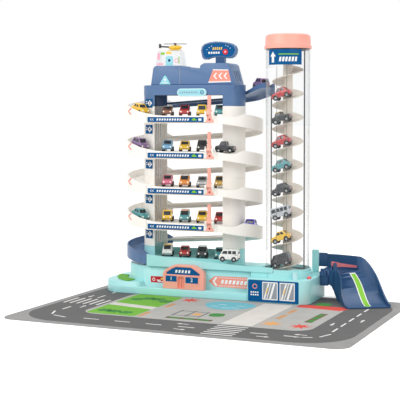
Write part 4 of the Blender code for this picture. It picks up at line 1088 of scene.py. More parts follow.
@dataclass
class ToyCar:
    """A die-cast toy car, modelled once for each kind and copied with its own paint."""

    width: float = 20.4
    wheel_radius: float = 5.0
    wheel_at: float = 12.2
    tyre_width: float = 4.4
    roof_height: float = 18.2
    growth: Spot = (1.06, 1.12, 1.2)
    cabin_steps: Sequence[Pair] = ((12.6, 0.95), (15.5, 0.86))
    models: dict[CarKind, Object] = field(default_factory=dict)

    def across(self, name: str, outline: Outline, share: float, more: float = 0.0) -> Object:
        """A plate across the car, over a share of its width and a bit more on each side."""
        reach = self.width / 2 * share + more
        return plate(name, outline, -reach, reach, Face.FRONT)

    def painted(self, obj: Object, *finishes: Finish) -> Object:
        """Gives an object materials.

        Args:
            obj: the object.
            *finishes: their finishes, in order.

        Returns:
            The same object.
        """
        for finish in finishes:
            obj.data.materials.append(finish.material())
        return obj

    def narrowed(self, obj: Object) -> Object:
        """Narrows what stands above each step of the cabin.

        Args:
            obj: object to shape, along X.

        Returns:
            The same object.
        """
        for over, share in self.cabin_steps:
            opened(obj, action="DESELECT")
            bpy.ops.object.mode_set(mode="OBJECT")
            for vertex in obj.data.vertices:
                vertex.select = vertex.co.z > over * MM
            bpy.ops.object.mode_set(mode="EDIT")
            bpy.ops.transform.resize(value=(1, share, 1), center_override=(0, 0, 0))
            bpy.ops.object.mode_set(mode="OBJECT")
        return obj

    def wheel(self, x: float, side: int) -> Object:
        """A wheel with a sunk rim.

        Args:
            x: place of its axle.
            side: 1 for the left of the car, -1 for the right.

        Returns:
            The wheel, with tyre and rim materials.
        """
        radius, wide = self.wheel_radius, self.tyre_width
        y = side * (self.width * self.growth[1] / 2 + 0.1 - wide / 2)
        made = self.painted(cylinder(radius, (x, y, radius), wide, (90, 0, 0)), Finish.TYRE, Finish.RIM)
        outer = max(made.data.polygons, key=lambda f: side * f.center.y).index
        opened(made, "FACE", "DESELECT")
        bpy.ops.object.mode_set(mode="OBJECT")
        made.data.polygons[outer].select = True
        bpy.ops.object.mode_set(mode="EDIT")
        for inset, out, material in ((0.45, 0.3, 0), (2.1, -0.9, 1), (0.9, 0.6, 1)):
            bpy.ops.mesh.inset(thickness=inset * MM)
            bpy.ops.transform.translate(value=(0, side * out * MM, 0))
            made.active_material_index = material
            bpy.ops.object.material_slot_assign()
        bpy.ops.object.mode_set(mode="OBJECT")
        return made

    def hull(self, shape: CarShape) -> Object:
        """The painted hull of a car, open at its windows and over its wheels.

        Args:
            shape: its side view.

        Returns:
            The hull.
        """
        made = softened(self.narrowed(self.across("hull", shape.hull, 0.93)), 1.0, 3, 20)
        cut(made, *[self.across("side_cutter", outline, 1.0, 2.0) for outline in shape.side_glass])
        cut(made, *[self.across("end_cutter", outline, 0.66) for outline in shape.end_glass])
        wheel_at, reach = self.wheel_at / self.growth[0], self.wheel_radius / self.growth[2]
        for x in (-wheel_at, wheel_at):
            cut(made, disc("well", (x, 0, reach), reach + 0.9, self.width + 4, sides=20))
        return self.painted(made, Finish.PAINT_RED)

    def model(self, kind: CarKind) -> Object:
        """The model of one kind, made on first use.

        Args:
            kind: its shape.

        Returns:
            The model, whose first material is its paint.
        """
        if kind in self.models:
            return self.models[kind]
        shape, half = kind.value, self.width / 2
        parts = [self.hull(shape),
                 self.painted(self.across("chassis", slab(-17.5, 17.5, 4.6, 7), 0.55), Finish.TYRE),
                 self.painted(self.narrowed(self.across("glass", shape.cabin, 0.86)), Finish.CAR_GLASS)]
        nose, tail = min(x for x, _ in shape.hull), max(x for x, _ in shape.hull)
        for side in (-1, 1):
            for at, finish in ((nose, Finish.HEADLAMP), (tail, Finish.TAIL_LAMP)):
                lamp = disc("lamp", (at * 0.985, side * half * 0.62, 8.6), 1.5, 1.2, (0, 90, 0), 12)
                parts.append(self.painted(lamp, finish))
        for at in (nose, tail):
            outline = slab(min(at, at * 0.96), max(at, at * 0.96) + 0.4, 4.6, 6.6)
            parts.append(self.painted(softened(self.across("bumper", outline, 0.84), 0.5), Finish.GREY))
        body = joined("body", parts)
        body.scale = self.growth
        wheels = [self.wheel(x, side) for side in (-1, 1) for x in (-self.wheel_at, self.wheel_at)]
        model = joined(f"{kind.name.lower()}_model", [settled(body), *wheels])
        model.hide_render = True
        self.models[kind] = model
        return model

    def copy(self, name: str, kind: CarKind, paints: Sequence[Finish], spot: Spot, heading: float,
             tilt: float) -> Object:
        """Sets a painted copy of a car down.

        Args:
            name: name of the copy.
            kind: its shape.
            paints: its paint and, where it has one, its roof's paint.
            spot: the ground under its middle.
            heading: the way of its nose, in degrees from +X.
            tilt: how far its nose is lifted, in degrees.

        Returns:
            The copy, with its place in its mesh.
        """
        made = named(twin(self.model(kind)), name)
        made.hide_render = False
        made.data.materials[0] = paints[0].material()
        for roof in paints[1:]:
            self.painted(made, roof)
            for face in made.data.polygons:
                over = face.center.z > self.roof_height * self.growth[2] * MM
                if face.material_index == 0 and over and face.normal.z > 0.2:
                    face.material_index = len(made.data.materials) - 1
        lift = Matrix.Rotation(math.radians(tilt), 4, "Y")
        turn = Matrix.Rotation(math.radians(heading - 180), 4, "Z") @ lift
        made.matrix_world = Matrix.Translation(Vector(spot) * MM) @ turn
        return settled(made)


@dataclass
class CarPark:
    """The cars on the lift and those parked on the decks, lanes and curves."""

    maker: ToyCar = field(default_factory=ToyCar)
    lift_front: Pair = (93.0, 155.0)
    lift_first: float = 72.4
    lift_tilt: float = math.degrees(math.atan(AUGER_PITCH / (2 * math.pi * 25.0)))
    bays: Sequence[float] = (-177.0, -137.0, -97.0, -57.0)
    bay_y: float = 190.0
    bay_heading: float = -72.0

    def park(self, name: str, looks: str, spot: Spot, heading: float, tilt: float = 0.0, body: str = BODY,
             replaces: Sequence[str] = ()) -> None:
        """Sets down a car.

        Args:
            name: its name.
            looks: the names of its kind, its paint and, where it has one, its roof's paint.
            spot: the ground under it.
            heading: the way of its nose, in degrees from +X.
            tilt: how far its nose is lifted, in degrees.
            body: the body that it rides on.
            replaces: CAD nodes that it stands for.
        """
        kind, *words = looks.split()
        paints = [Finish[f"PAINT_{word}"] for word in words]
        car = self.maker.copy(name, CarKind[kind], paints, spot, heading, tilt)
        dressed(car, paints[0], body, replaces=replaces)

    def on_lift(self) -> None:
        """Sets the eight cars on the auger, each in place of its CAD node."""
        rows = ("VAN BLACK", "COUPE YELLOW", "BUS SILVER", "COUPE BLACK", "COUPE TEAL", "COUPE RED",
                "TRUCK BLACK YELLOW", "COUPE RED BLACK")
        for index, looks in enumerate(rows):
            spot = (*self.lift_front, self.lift_first + index * AUGER_PITCH)
            self.park(f"lift_toy_car_{index + 1}", looks, spot, 180.0, -self.lift_tilt, "lift_cars",
                      [f"lift_car_{index + 1}"])

    def in_bays(self) -> None:
        """Parks cars in the bays of every level."""
        rows = {
            5: ("COUPE BROWN WHITE", "HATCH RED", "BUS YELLOW", "HATCH TEAL"),
            4: ("HATCH BLUE", "COUPE YELLOW", "VAN BLACK"),
            3: ("HATCH PINK", "VAN ORANGE WHITE", "COUPE SILVER", "HATCH GOLD"),
            2: ("BUS YELLOW", "VAN TEAL ORANGE", "HATCH YELLOW", "COUPE RED"),
            1: ("VAN WHITE YELLOW", "COUPE RED", "HATCH BLACK WHITE", "COUPE TEAL")}
        for number, cars in rows.items():
            for index, (x, looks) in enumerate(zip(self.bays, cars)):
                spot = (x, self.bay_y, level(number) + 0.1)
                self.park(f"parked_car_{number}_{index + 1}", looks, spot, self.bay_heading)

    def driving(self) -> None:
        """Sets cars on the curves, in the front lanes and on the chute."""
        for number, looks in ((5, "COUPE YELLOW"), (4, "HATCH PURPLE"), (2, "COUPE TEAL")):
            self.park(f"curve_car_{number}", looks, (-229, 159, level(number) + 5.2), 330, -10)
        self.park("lane_car_4", "TRUCK BLACK", (-30, 151, level(4) + 0.2), 183)
        self.park("lane_car_1", "VAN WHITE", (-21, 151, level(1) + 0.4), 183)
        self.park("curve_car_1", "HATCH INDIGO", (11, 196, 136.6), 96, -6)
        self.park("chute_car", "HATCH PURPLE", (26, 213, 432.6), 135.6, 4)

    def build(self) -> None:
        """Makes the cars and removes their models."""
        self.on_lift()
        self.in_bays()
        self.driving()
        for model in self.maker.models.values():
            bpy.data.objects.remove(model)


# The auger

@dataclass
class SmoothAuger:
    """The lift's auger with a fine helical flight and a rounded rim."""

    shaft: float = 10.0
    shaft_span: Pair = (61.7, 510.0)
    journal: float = 4.0
    journal_span: Pair = (31.0, 534.0)
    flight: float = 32.0
    rim: float = 0.8
    thick: float = 2.4
    low: float = 62.3
    high: float = 504.0
    front_top: float = 70.5
    steps: int = 40

    def rod(self, radius: float, span: Pair, soft: float, sides: int) -> Object:
        """An upright rod between two heights, with softened ends."""
        return softened(cylinder(radius, (0, 0, sum(span) / 2), span[1] - span[0], sides=sides), soft)

    def helix(self) -> Object:
        """Screws the flight's section round the shaft.

        Returns:
            The closed flight.
        """
        start = math.radians(-90) + (self.low + self.thick - self.front_top) / AUGER_PITCH * math.tau
        turns = math.floor((self.high - self.low) / AUGER_PITCH * self.steps) / self.steps
        root, neck, rise = self.shaft - 0.5, self.flight - self.rim, self.thick - self.rim
        section = [(root, 0), (neck, 0), (self.flight, self.rim), (self.flight, rise), (neck, self.thick),
                   (root, self.thick)]
        made = primitive("circle", vertices=len(section), fill_type="NOTHING")
        for vertex, (radius, height) in zip(made.data.vertices, section):
            vertex.co = Vector((radius * math.cos(start), radius * math.sin(start), self.low + height)) * MM
        count = int(turns * self.steps)
        modified(made, "SCREW", axis="Z", screw_offset=turns * AUGER_PITCH * MM, angle=turns * math.tau,
                 steps=count, render_steps=count, use_merge_vertices=False, use_normal_calculate=True)
        opened(made, "EDGE", "DESELECT")
        bpy.ops.mesh.select_non_manifold()
        bpy.ops.mesh.edge_face_add()
        outward()
        return made

    def build(self) -> None:
        """Joins the flight, the shaft and the journal, and dresses the auger."""
        pieces = [self.helix(), self.rod(self.shaft, self.shaft_span, 1.0, 40),
                  self.rod(self.journal, self.journal_span, 0.5, 24)]
        auger = joined("auger_screw", pieces)
        auger.location = Vector((*LIFT_AXIS, 0)) * MM
        dressed(settled(auger), Finish.BEIGE, "auger", replaces=["auger"])


# Signs, stickers and small fittings

@dataclass
class LevelSigns:
    """Signs and fittings of one storey, made at height 0 and copied to the others."""

    front: float = 132.1
    core_radius: float = 34.5
    lane_radius: float = 72.0
    pillar_angle: float = 251.5
    foot: Pair = (130.2, 133.05)

    def spread(self, source: Object, finish: Finish, first: int = 2) -> None:
        """Copies a piece to four storeys and removes it.

        Args:
            source: the piece at height 0.
            finish: its finish.
            first: the lowest of the storeys.
        """
        for number in range(first, first + 4):
            dressed(copied(source, f"{source.name}_{number}", (0, 0, level(number))), finish)
        bpy.data.objects.remove(source)

    def fascia(self) -> None:
        """The blue sign on each fascia, its row of marks and the line under it."""
        face = self.front
        sign = inked("fascia_sign", [slab(-198.6, -71.4, -11.3, -0.9, 0.8, 2)], face - 0.25, face + 0.2)
        self.spread(sign, Finish.FILM_BLUE)
        marks = bars(-178, -107, 5.8, -8.2, -4.0, 3.4, 1.2)
        marks += [chevron(x, -6.1, 4.4, 4.6, 1.5) for x in (-191, -186)]
        marks.append(slab(-83, -76, -8.4, -3.8, 1.2, 3))
        self.spread(inked("fascia_marks", marks, face - 0.4, face - 0.2), Finish.FILM_WHITE)
        car = [(-98, -8), (-87, -8), (-87, -6), (-89.4, -5.4), (-91, -3.4), (-95, -3.4), (-96.4, -5.4),
               (-98, -6)]
        self.spread(inked("fascia_car_mark", [car], face - 0.4, face - 0.2), Finish.FILM_LIME)
        line = inked("fascia_under_line", [slab(-199, -66, -12.6, -11.8)], 132.75, 133.1)
        self.spread(line, Finish.FILM_BROWN)

    def pillars(self) -> None:
        """The wrapped sticker on each left pillar, with a diamond and the number of the storey."""
        for number in range(1, 6):
            low = level(number) + (19.0 if number == 5 else 38.0)
            diamond = [[(-5, low + 9.5), (1.5, low + 3), (8, low + 9.5), (1.5, low + 16)],
                       slab(-10, -6, low + 12, low + 14), slab(-10, -6, low + 8, low + 10)]
            sticker = [slab(-13, 9, low, low + 19, 1.2, 2)]
            for made, finish in (
                    (inked(f"pillar_sticker_{number}", sticker, -0.25, 0.05), Finish.FILM_BLUE),
                    (inked(f"pillar_diamond_{number}", diamond, -0.4, -0.1), Finish.FILM_WHITE),
                    (numeral(f"pillar_number_{number}", number, (1.5, low + 9.5), 7.0, -0.55, -0.35),
                     Finish.FILM_NAVY)):
                dressed(wrapped(made, LEFT_AXIS, self.core_radius, self.pillar_angle), finish)

    def lanes(self) -> None:
        """The arrow head of each left curve, the foot of each barrier and the painted shade in each pillar's
        groove lines.
        """
        head = inked("lane_arrow", [chevron(0, 11.0, 20, 14, 6.5)], -0.25, 0.1)
        self.spread(wrapped(head, LEFT_AXIS, self.lane_radius, 229.0), Finish.FILM_CORAL)
        foot = [(-62.6, 2), (-52.4, 2), (-52.4, -3.5), (-49, -11.5), (-66, -11.5), (-62.6, -3.5)]
        self.spread(inked("barrier_foot", [foot], *self.foot), Finish.CORAL)
        self.spread(disc("barrier_rivet", (-57.5, 130.0, -6.0), 2.2, 0.7, sides=12), Finish.DARK_RED)
        # Painted shade: thin grey strips stand for the shadow in each groove of the left pillars.
        groove_shades = [slab(x, x + 1.0, 23, 71) for x in (-198, -193, -188)]
        self.spread(inked("pillar_groove_shade", groove_shades, 174.6, 175.0), Finish.FILM_GREY, 1)

    def build(self) -> None:
        """Makes the signs and fittings of every storey."""
        self.fascia()
        self.pillars()
        self.lanes()


@dataclass
class Prints:
    """Prints and stickers on upright front faces of the garage."""

    proud: float = 0.25
    step: float = 0.15
    sunk: float = 0.1

    def put(self, surface: float, name: str, finish: Finish, layer: int, *outlines: Outline,
            slot: str = "") -> None:
        """Sets flat shapes on a front face.

        Args:
            surface: Y of the face.
            name: name of the piece.
            finish: their finish.
            layer: 1 on the face itself, more on other prints.
            *outlines: the shapes in X and Z.
            slot: not used.
        """
        front = surface - self.proud - self.step * (layer - 1)
        dressed(inked(name, outlines, front, surface + self.sunk), finish)

    def dot(self, surface: float, name: str, finish: Finish, middle: Pair, radius: float,
            proud: float) -> None:
        """Sets a disc on a front face, its middle in X and Z."""
        dressed(disc(name, (middle[0], surface - proud / 2, middle[1]), radius, proud), finish)


@dataclass
class RoofDressing(Prints):
    """The big sign, the panels on the crown, the plate's ring and the cabin's stickers."""

    crown: float = 175.0
    plate_front: float = 164.6
    face: float = 183.6
    cabin: Spot = (178.5, 484.3, 3.5)

    def sign(self) -> None:
        """The bean-shaped sign's bright face and its generic marks."""
        bean = [(0, 19), (2, 28), (8, 33.5), (20, 36.8), (32, 38), (46, 37.5), (60, 35.5), (71, 32.5),
                (78, 27.5), (81, 20), (79.5, 12), (75, 5.5), (68, 2.4), (58, 2.4), (48, 5), (32, 5.2),
                (23, 3.6), (15, 0.6), (7, 0.8), (3, 5.5)]
        inset = [(-57.5 + (x - 40.5) * 0.88, 515 + (z - 19.5) * 0.81) for x, z in bean]
        self.put(self.face, "roof_sign_face", Finish.FILM_BLUE, 1, inset)
        upper = bars(-72, -50, 4.6, 516, 521.5, 2.8, 1.2)
        self.put(self.face, "roof_sign_upper_marks", Finish.FILM_YELLOW, 2, *upper)
        dots = [slab(x - 0.9, x + 0.9, z - 0.9, z + 0.9, 0.9, 3) for x, z in
                ((-84, 517), (-79, 521), (-74, 524), (-42, 525), (-37, 523), (-32, 519))]
        rows = bars(-81, -55, 5.4, 508, 512, 3.8)
        self.put(self.face, "roof_sign_lower_marks", Finish.FILM_WHITE, 2, *rows, *dots)
        self.dot(self.face, "roof_sign_disc", Finish.FILM_RED, (-43, 511.5), 6.0, 0.5)
        self.dot(self.face, "roof_sign_hub", Finish.FILM_PINK, (-43, 511.5), 2.6, 0.8)

    def panels(self) -> None:
        """The arch panel, the arrow panel, the painted shadow line where the crown meets the rim and the
        painted highlight on the edge of the crown's left block.
        """
        arch = [(-190, 444.4), (-164, 444.4), (-169, 453), (-174, 461.5), (-177, 463.5), (-180, 461.5),
                (-185, 453)]
        self.put(self.crown, "arch_panel", Finish.FILM_CYAN, 1, arch)
        self.put(self.crown, "arch_panel_marks", Finish.FILM_WHITE, 2, slab(-179.5, -174.5, 452, 457, 2.5, 5),
                 slab(-183, -171, 447, 448.6, 0.6, 2))
        panel = [(-78, 447), (-27, 448), (-33, 474), (-67, 475)]
        self.put(self.crown, "arrow_panel", Finish.FILM_CORAL, 1, panel)
        heads = [chevron(x, 461, 9, 13, 3.4) for x in (-62, -50.5, -39)]
        edges = [[(-78, 447), (-27, 448), (-27.6, 450.4), (-77.2, 449.6)],
                 [(-33.4, 472), (-33, 474), (-67, 475), (-67.8, 473)]]
        self.put(self.crown, "arrow_panel_marks", Finish.FILM_WHITE, 2, *heads, *edges)
        # Painted shade and light: a navy strip for the shadow where the crown meets the rim, and a pale grey
        # strip for the lit edge of the crown's left block.
        for name, finish, painted_line in (("crown_shadow_line", Finish.FILM_NAVY, slab(-209, -21, 443.2, 444.3)),
                                   ("crown_step_highlight", Finish.FILM_GREY, slab(-143.4, -142.4, 444.4, 483))):
            self.put(self.crown, name, finish, 1, painted_line, slot="blue_plastic")

    def plate(self) -> None:
        """The ring and the row of marks on the pill plate."""
        front, middle = self.plate_front, (-88, 426.8)
        self.put(front, "plate_inlay", Finish.FILM_CYAN, 1, slab(-142.5, -81.5, 420.8, 432.8, 6, 6))
        rows = bars(-134, -101, 5.2, 425.6, 428.2, 3.4)
        self.put(front, "plate_marks", Finish.FILM_GREY, 2, *rows, slab(-138.6, -137, 424.4, 429.2))
        self.dot(front, "plate_ring", Finish.FILM_NAVY, middle, 4.0, 0.5)
        self.dot(front, "plate_ring_inside", Finish.FILM_CYAN, middle, 2.7, 0.7)
        self.dot(front, "plate_ring_dot", Finish.FILM_NAVY, middle, 1.1, 0.9)

    def stickers(self) -> None:
        """The pastel stickers of the clear cabin, leaning with its front, and its tinted door."""
        y, z, lean = self.cabin
        pink = [slab(-198, -183, 486, 490, 0.8, 2), slab(-197, -191, 497, 512, 1, 2)]
        green = [slab(-189, -180, 508, 513, 1.4, 3), slab(-147.5, -145.5, 488, 504, 0.8, 2)]
        rows = (("cabin_pink", pink, Finish.FILM_PINK), ("cabin_green", green, Finish.FILM_LIME),
                ("cabin_yellow", [slab(-177, -164, 509, 514.5, 1.6, 3)], Finish.FILM_YELLOW),
                ("cabin_ring", [ring(-152, 495, 5, 3.2)], Finish.FILM_PINK))
        pivot = Matrix.Translation(Vector((0, y, z)) * MM)
        for name, outlines, finish in rows:
            made = inked(name, outlines, y - 0.2, y + 0.05)
            made.matrix_world = pivot @ Matrix.Rotation(math.radians(-lean), 4, "X") @ pivot.inverted()
            dressed(settled(made), finish)
        door = [(-177.4, 484.6), (-161.1, 484.6), (-161.1, 501.8), (-163.4, 505), (-175.2, 505),
                (-177.4, 501.8)]
        dressed(inked("cabin_door", [door], 179.9, 180.7), Finish.FILM_CYAN)
        mark = slab(-172, -166.6, 493, 498.4, 1.4, 3)
        dressed(inked("cabin_door_mark", [mark], 179.7, 179.95), Finish.FILM_NAVY)

    def build(self) -> None:
        """Dresses the roof."""
        self.sign()
        self.panels()
        self.plate()
        self.stickers()


@dataclass
class BaseDressing(Prints):
    """The hall's windows, door and sign, and the stickers of the two bases."""

    hall: float = 118.5
    sign_proud: float = 0.8
    door_depth: float = 4.0
    tier: float = 140.0
    module: float = 117.0

    def service(self) -> None:
        """The blue panes of the hall, their numbers and its door."""
        board, doorway = self.hall + self.sign_proud, self.hall + self.door_depth
        sign = [(-149.6, 47.8), (-75.2, 47.8), (-75.2, 51), (-87.6, 59.2), (-94.4, 63), (-127.6, 63),
                (-135.6, 60), (-149.6, 51.4)]
        self.put(board, "hall_sign", Finish.FILM_BLUE, 1, sign)
        self.put(board, "hall_sign_marks", Finish.FILM_WHITE, 2, *bars(-130, -95, 7.2, 51.5, 57.5, 4.2, 1.4))
        panes = (slab(-151.2, -126.2, 32.6, 44.6), slab(-106.4, -78.6, 31, 43.6))
        self.put(self.hall, "hall_panes", Finish.FILM_BLUE, 1, *panes)
        for number, middle in ((1, (-138.7, 38.6)), (2, (-92.5, 37.3))):
            figure = numeral(f"hall_number_{number}", number, middle, 7.6, self.hall - 0.45, self.hall - 0.2)
            dressed(figure, Finish.FILM_WHITE)
        door = [(-123.8, 19.4), (-109.7, 19.4), (-109.7, 40.6), (-112.4, 43.2), (-121.2, 43.2),
                (-123.8, 40.6)]
        self.put(doorway, "hall_door", Finish.FILM_CORAL, 1, door)
        self.put(doorway, "hall_door_lines", Finish.DARK_RED, 2, slab(-117.1, -116.5, 20, 42))

    def tier_stickers(self) -> None:
        """The red sticker and the big arrow on the tier."""
        self.put(self.tier, "red_sticker", Finish.FILM_RED, 1, slab(-195, -162, 25, 38, 1.2, 3))
        self.put(self.tier, "red_sticker_marks", Finish.FILM_WHITE, 2, ring(-188, 31.5, 3.4, 2.0, 14),
                 slab(-181, -172, 29, 31), slab(-179, -166, 26.6, 28.2))
        self.put(self.tier, "red_sticker_light", Finish.FILM_YELLOW, 2, slab(-172, -165.5, 31.5, 35.5, 2, 4))
        big = [(-63, 35), (-50, 24), (24.5, 23), (24.5, 47), (-50, 46)]
        self.put(self.tier, "big_arrow", Finish.FILM_CORAL, 1, big)
        rows = [bar for low in (42.6, 26.2) for bar in bars(-40, 20, 5.0, low, low + 1.2, 3.2)]
        rows += bars(-36, 16, 8.4, 31, 39, 5.2, 2.2)
        self.put(self.tier, "big_arrow_marks", Finish.FILM_WHITE, 2, *rows, chevron(-49, 35, 12, 18, 5))

    def window(self, number: int, x0: float, x1: float) -> None:
        """Prints one window of the module's sticker, with streaks on its pane.

        Args:
            number: its number.
            x0: its left side.
            x1: its right side.
        """
        face = self.module
        self.put(face, f"module_frame_{number}", Finish.FILM_WHITE, 2, slab(x0, x1, 8, 44, 0.8, 2))
        self.put(face, f"module_pane_{number}", Finish.FILM_GREY, 3, slab(x0 + 1.8, x1 - 1.8, 10, 42))
        streaks = [bars(x0 + a, x0 + a, 1.0, 10.4, 41.6, w, 9)[0]
                   for a, w in ((3, 3.2), (9, 1.6), (14.5, 4.2))]
        self.put(face, f"module_streaks_{number}", Finish.FILM_WHITE, 4, *streaks)
        glint = bars(x0 + 7, x0 + 7, 1.0, 20, 33, 2, 4)
        self.put(face, f"module_glints_{number}", Finish.FILM_YELLOW, 5, *glint)

    def module_sticker(self) -> None:
        """The blue sticker of the lift's base, with two windows and a round mark."""
        self.put(self.module, "module_sticker", Finish.FILM_BLUE, 1, slab(31.5, 138, 3, 47, 2.4, 3))
        self.window(1, 62, 94.5)
        self.window(2, 98.5, 130)
        self.put(self.module, "module_mark", Finish.FILM_CORAL, 2, ring(46, 34, 5.2, 3.4))
        rows = [bar for low in (20.6, 15.4) for bar in bars(37, 53, 4.6, low, low + 2.8, 3.2)]
        self.put(self.module, "module_lines", Finish.FILM_WHITE, 2, *rows)

    def build(self) -> None:
        """Dresses the hall and the bases."""
        self.service()
        self.tier_stickers()
        self.module_sticker()


@dataclass
class LiftDressing:
    """The prints of the lift's sign, the painted reflection lines of its tube, and the strip and the wing of
    the exit ramp.
    """

    sign_radius: float = 47.1
    angle: float = -82.0
    ramp_start: Pair = (158.4, 232.0)
    ramp_radius: float = 101.0
    ramp_turn: float = math.radians(60)
    straight: float = 61.0
    slope_from: float = 65.2
    top: float = 61.0
    foot: float = 4.2
    steps: int = 24

    def sign(self) -> None:
        """The upward arrow, the row of marks and the lime line on the lift's sign."""
        up = [(-28, 485), (-22, 485), (-22, 497), (-18, 497), (-25, 506.5), (-32, 497), (-28, 497)]
        marks = [up, *bars(-11, 26, 6.4, 487, 496, 4.2, 1.6)]
        for name, outlines, finish in (
                ("lift_sign_marks", marks, Finish.FILM_WHITE),
                ("lift_sign_line", [slab(-12, 30, 500.5, 502.5, 0.8, 2)], Finish.FILM_LIME)):
            made = wrapped(inked(name, outlines, -0.25, 0.1), LIFT_AXIS, self.sign_radius, self.angle)
            dressed(made, finish)

    def seams(self) -> None:
        """Two thin grey lines down the front of the clear tube, painted reflections of its wall."""
        for number, angle in ((1, -75.5), (2, -102.0)):
            # Painted reflections: thin grey strips on the tube stand for lines that its clear wall mirrors.
            made = inked(f"tube_seam_{number}", [slab(-0.6, 0.6, 80, 478)], -0.2, 0.1)
            dressed(wrapped(made, LIFT_AXIS, TUBE_R, angle), Finish.CLEAR_SEAM)

    def ramp_spot(self, run: float, across: float) -> Vector:
        """A point on the ramp's floor.

        Args:
            run: way along its middle.
            across: way to its outer side.

        Returns:
            The point in metres.
        """
        bend = self.ramp_radius * self.ramp_turn
        turn = min(self.ramp_turn, run / self.ramp_radius)
        past, reach = max(0.0, run - bend), self.ramp_radius + across
        fall = max(0.0, (run - self.slope_from) / (bend + self.straight - self.slope_from))
        ease = fall * fall * (3 - 2 * fall)
        z = self.top - (self.top - self.foot) * (0.25 * ease + 0.75 * math.sin(fall * math.pi / 2))
        x, y = self.ramp_start
        return Vector((x + reach * math.sin(turn) + math.cos(turn) * past,
                       y - self.ramp_radius + reach * math.cos(turn) - math.sin(turn) * past, z)) * MM

    def strip(self, name: str, span: Pair, upper: Pair, lower: Pair, proud: float, finish: Finish) -> None:
        """Lays a strip on the ramp's floor.

        Args:
            name: name of the strip.
            span: its upper and its lower end along the ramp.
            upper: its two edges across the ramp at the upper end.
            lower: its two edges at the lower end.
            proud: how far it stands out.
            finish: its finish.
        """
        made = primitive("grid", x_subdivisions=self.steps, y_subdivisions=1, size=2)
        for vertex in made.data.vertices:
            along, across = (vertex.co.x + 1) / 2, (vertex.co.y + 1) / 2
            near, far = (a + (b - a) * along for a, b in zip(upper, lower))
            vertex.co = self.ramp_spot(span[0] + (span[1] - span[0]) * along, near + (far - near) * across)
            vertex.co.z += proud * MM
        opened(modified(made, "SOLIDIFY", thickness=(proud + 0.15) * MM, offset=-1.0))
        outward()
        dressed(named(made, name), finish)

    def build(self) -> None:
        """Prints the lift's sign, draws the tube's painted reflection lines, lays the ramp's strip and closes
        its wing.
        """
        self.sign()
        self.seams()
        self.strip("ramp_strip_border", (70, 163), (-6, 8), (-5.5, 7.5), 0.25, Finish.FILM_WHITE)
        self.strip("ramp_strip_green", (72, 161.5), (-4.2, 6.2), (-3.7, 5.7), 0.4, Finish.FILM_LIME)
        wing = [(130, 254.3), (142, 254.3), (143.5, 256.4), (158.5, 257), (158.5, 260), (130, 260)]
        dressed(softened(plate("ramp_wing", wing, 61, 90), 0.8), Finish.RAMP_BLUE)


# Studio

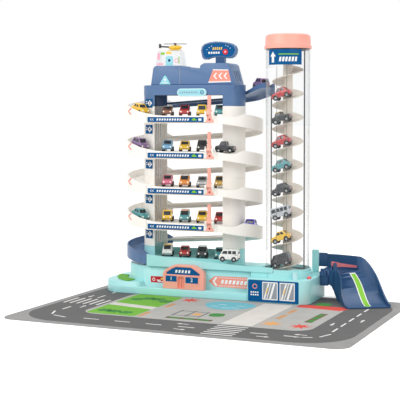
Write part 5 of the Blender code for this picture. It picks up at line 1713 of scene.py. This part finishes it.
@dataclass
class Studio:
    """A plain pale floor, soft lamps and the camera, placed in metres."""

    camera_at: Spot = (0.756, -1.946, 0.383)
    camera_turn: Spot = (88.11, 0.0, 21.9)
    lens: float = 97.56
    shift: Pair = (0.0, -0.1275)
    lamps: Sequence[tuple[str, Spot, float, float]] = (
        ("key_lamp", (-1.3, -1.9, 1.9), 1.6, 31.0), ("fill_lamp", (1.9, -1.5, 1.2), 1.6, 14.0),
        ("top_lamp", (0.2, 0.9, 2.2), 1.4, 12.0))
    aim: Spot = (0.0, 0.1, 0.25)
    sky: float = 0.72
    floor_size: float = 60.0
    glow: float = 0.47

    def placed(self, data: bpy.types.ID, at: Spot, turn: Sequence[float]) -> Object:
        """Puts a camera or a lamp into the scene.

        Args:
            data: the camera or lamp.
            at: its place in metres.
            turn: its turn in radians.

        Returns:
            Its object.
        """
        made = bpy.data.objects.new(data.name, data)
        bpy.context.scene.collection.objects.link(made)
        made.location, made.rotation_euler = at, turn
        return made

    def camera(self) -> None:
        """Sets the camera up."""
        data = bpy.data.cameras.new("camera")
        data.lens, data.sensor_width, data.clip_end = self.lens, 36.0, 200.0
        data.shift_x, data.shift_y = self.shift
        turn = [math.radians(a) for a in self.camera_turn]
        bpy.context.scene.camera = self.placed(data, self.camera_at, turn)

    def lights(self) -> None:
        """Adds soft square lamps that face the toy."""
        for name, at, size, watts in self.lamps:
            data = bpy.data.lights.new(name, "AREA")
            data.size, data.energy = size, watts
            self.placed(data, at, (Vector(self.aim) - Vector(at)).to_track_quat("-Z", "Y").to_euler())

    def seen_share(self, tree: bpy.types.NodeTree) -> Socket:
        """Finds the rays that show a background: from the camera, off gloss or through clear pieces.

        Args:
            tree: where the nodes go.

        Returns:
            1 for those rays, 0 for the others.
        """
        rays = add_node(tree, "LightPath", {}).outputs
        total = rays["Is Camera Ray"]
        for name in ("Is Glossy Ray", "Is Transmission Ray"):
            total = add_node(tree, "Math", {0: total, 1: rays[name]}, operation="MAXIMUM").outputs["Value"]
        return total

    def world(self) -> None:
        """A soft even light, white where the camera looks."""
        world = bpy.data.worlds.new("world")
        world.use_nodes = True
        bpy.context.scene.world = world
        tree = world.node_tree
        soft = tree.nodes["Background"]
        soft.inputs["Color"].default_value = (1.0, 0.975, 0.94, 1)
        soft.inputs["Strength"].default_value = self.sky
        white = add_node(tree, "Background", {"Color": (1, 1, 1, 1), "Strength": 1.0})
        mix = add_node(tree, "MixShader", {"Fac": self.seen_share(tree), 1: soft.outputs["Background"],
                                           2: white.outputs["Background"]})
        tree.links.new(mix.outputs["Shader"], tree.nodes["World Output"].inputs["Surface"])

    def floor(self) -> None:
        """A white floor that keeps a soft shadow."""
        floor = named(settled(primitive("plane", size=self.floor_size)), "studio_floor")
        board = Board("studio_floor")
        board.tint(board.ranged(board.noise(3.0), 0.0, 1.0), (0.79, 0.79, 0.79, 1), (0.81, 0.81, 0.81, 1))
        board.set(Roughness=0.9, Specular_IOR_Level=0.1)
        tree = board.tree
        share = add_node(tree, "Math", {0: self.seen_share(tree), 1: self.glow}, operation="MULTIPLY")
        glow = add_node(tree, "Emission", {"Color": (1, 1, 1, 1), "Strength": share.outputs["Value"]})
        both = add_node(tree, "AddShader", {0: board.shader.outputs["BSDF"], 1: glow.outputs["Emission"]})
        tree.links.new(both.outputs["Shader"], tree.nodes["Material Output"].inputs["Surface"])
        floor.data.materials.append(board.material)

    def build(self) -> None:
        """Sets up camera, lamps, world and floor."""
        bpy.context.scene.view_settings.view_transform = "Standard"
        self.camera()
        self.lights()
        self.world()
        self.floor()


def main() -> None:
    """Builds the looks, piece by piece."""
    logging.basicConfig(level=logging.INFO, format="%(message)s")
    for part in (Studio(), Shells(), PlayMat(), SmoothAuger(), CarPark(), LevelSigns(), RoofDressing(),
                 BaseDressing(), LiftDressing()):
        part.build()
        LOG.info("%s built", type(part).__name__)


if __name__ == "__main__":
    main()
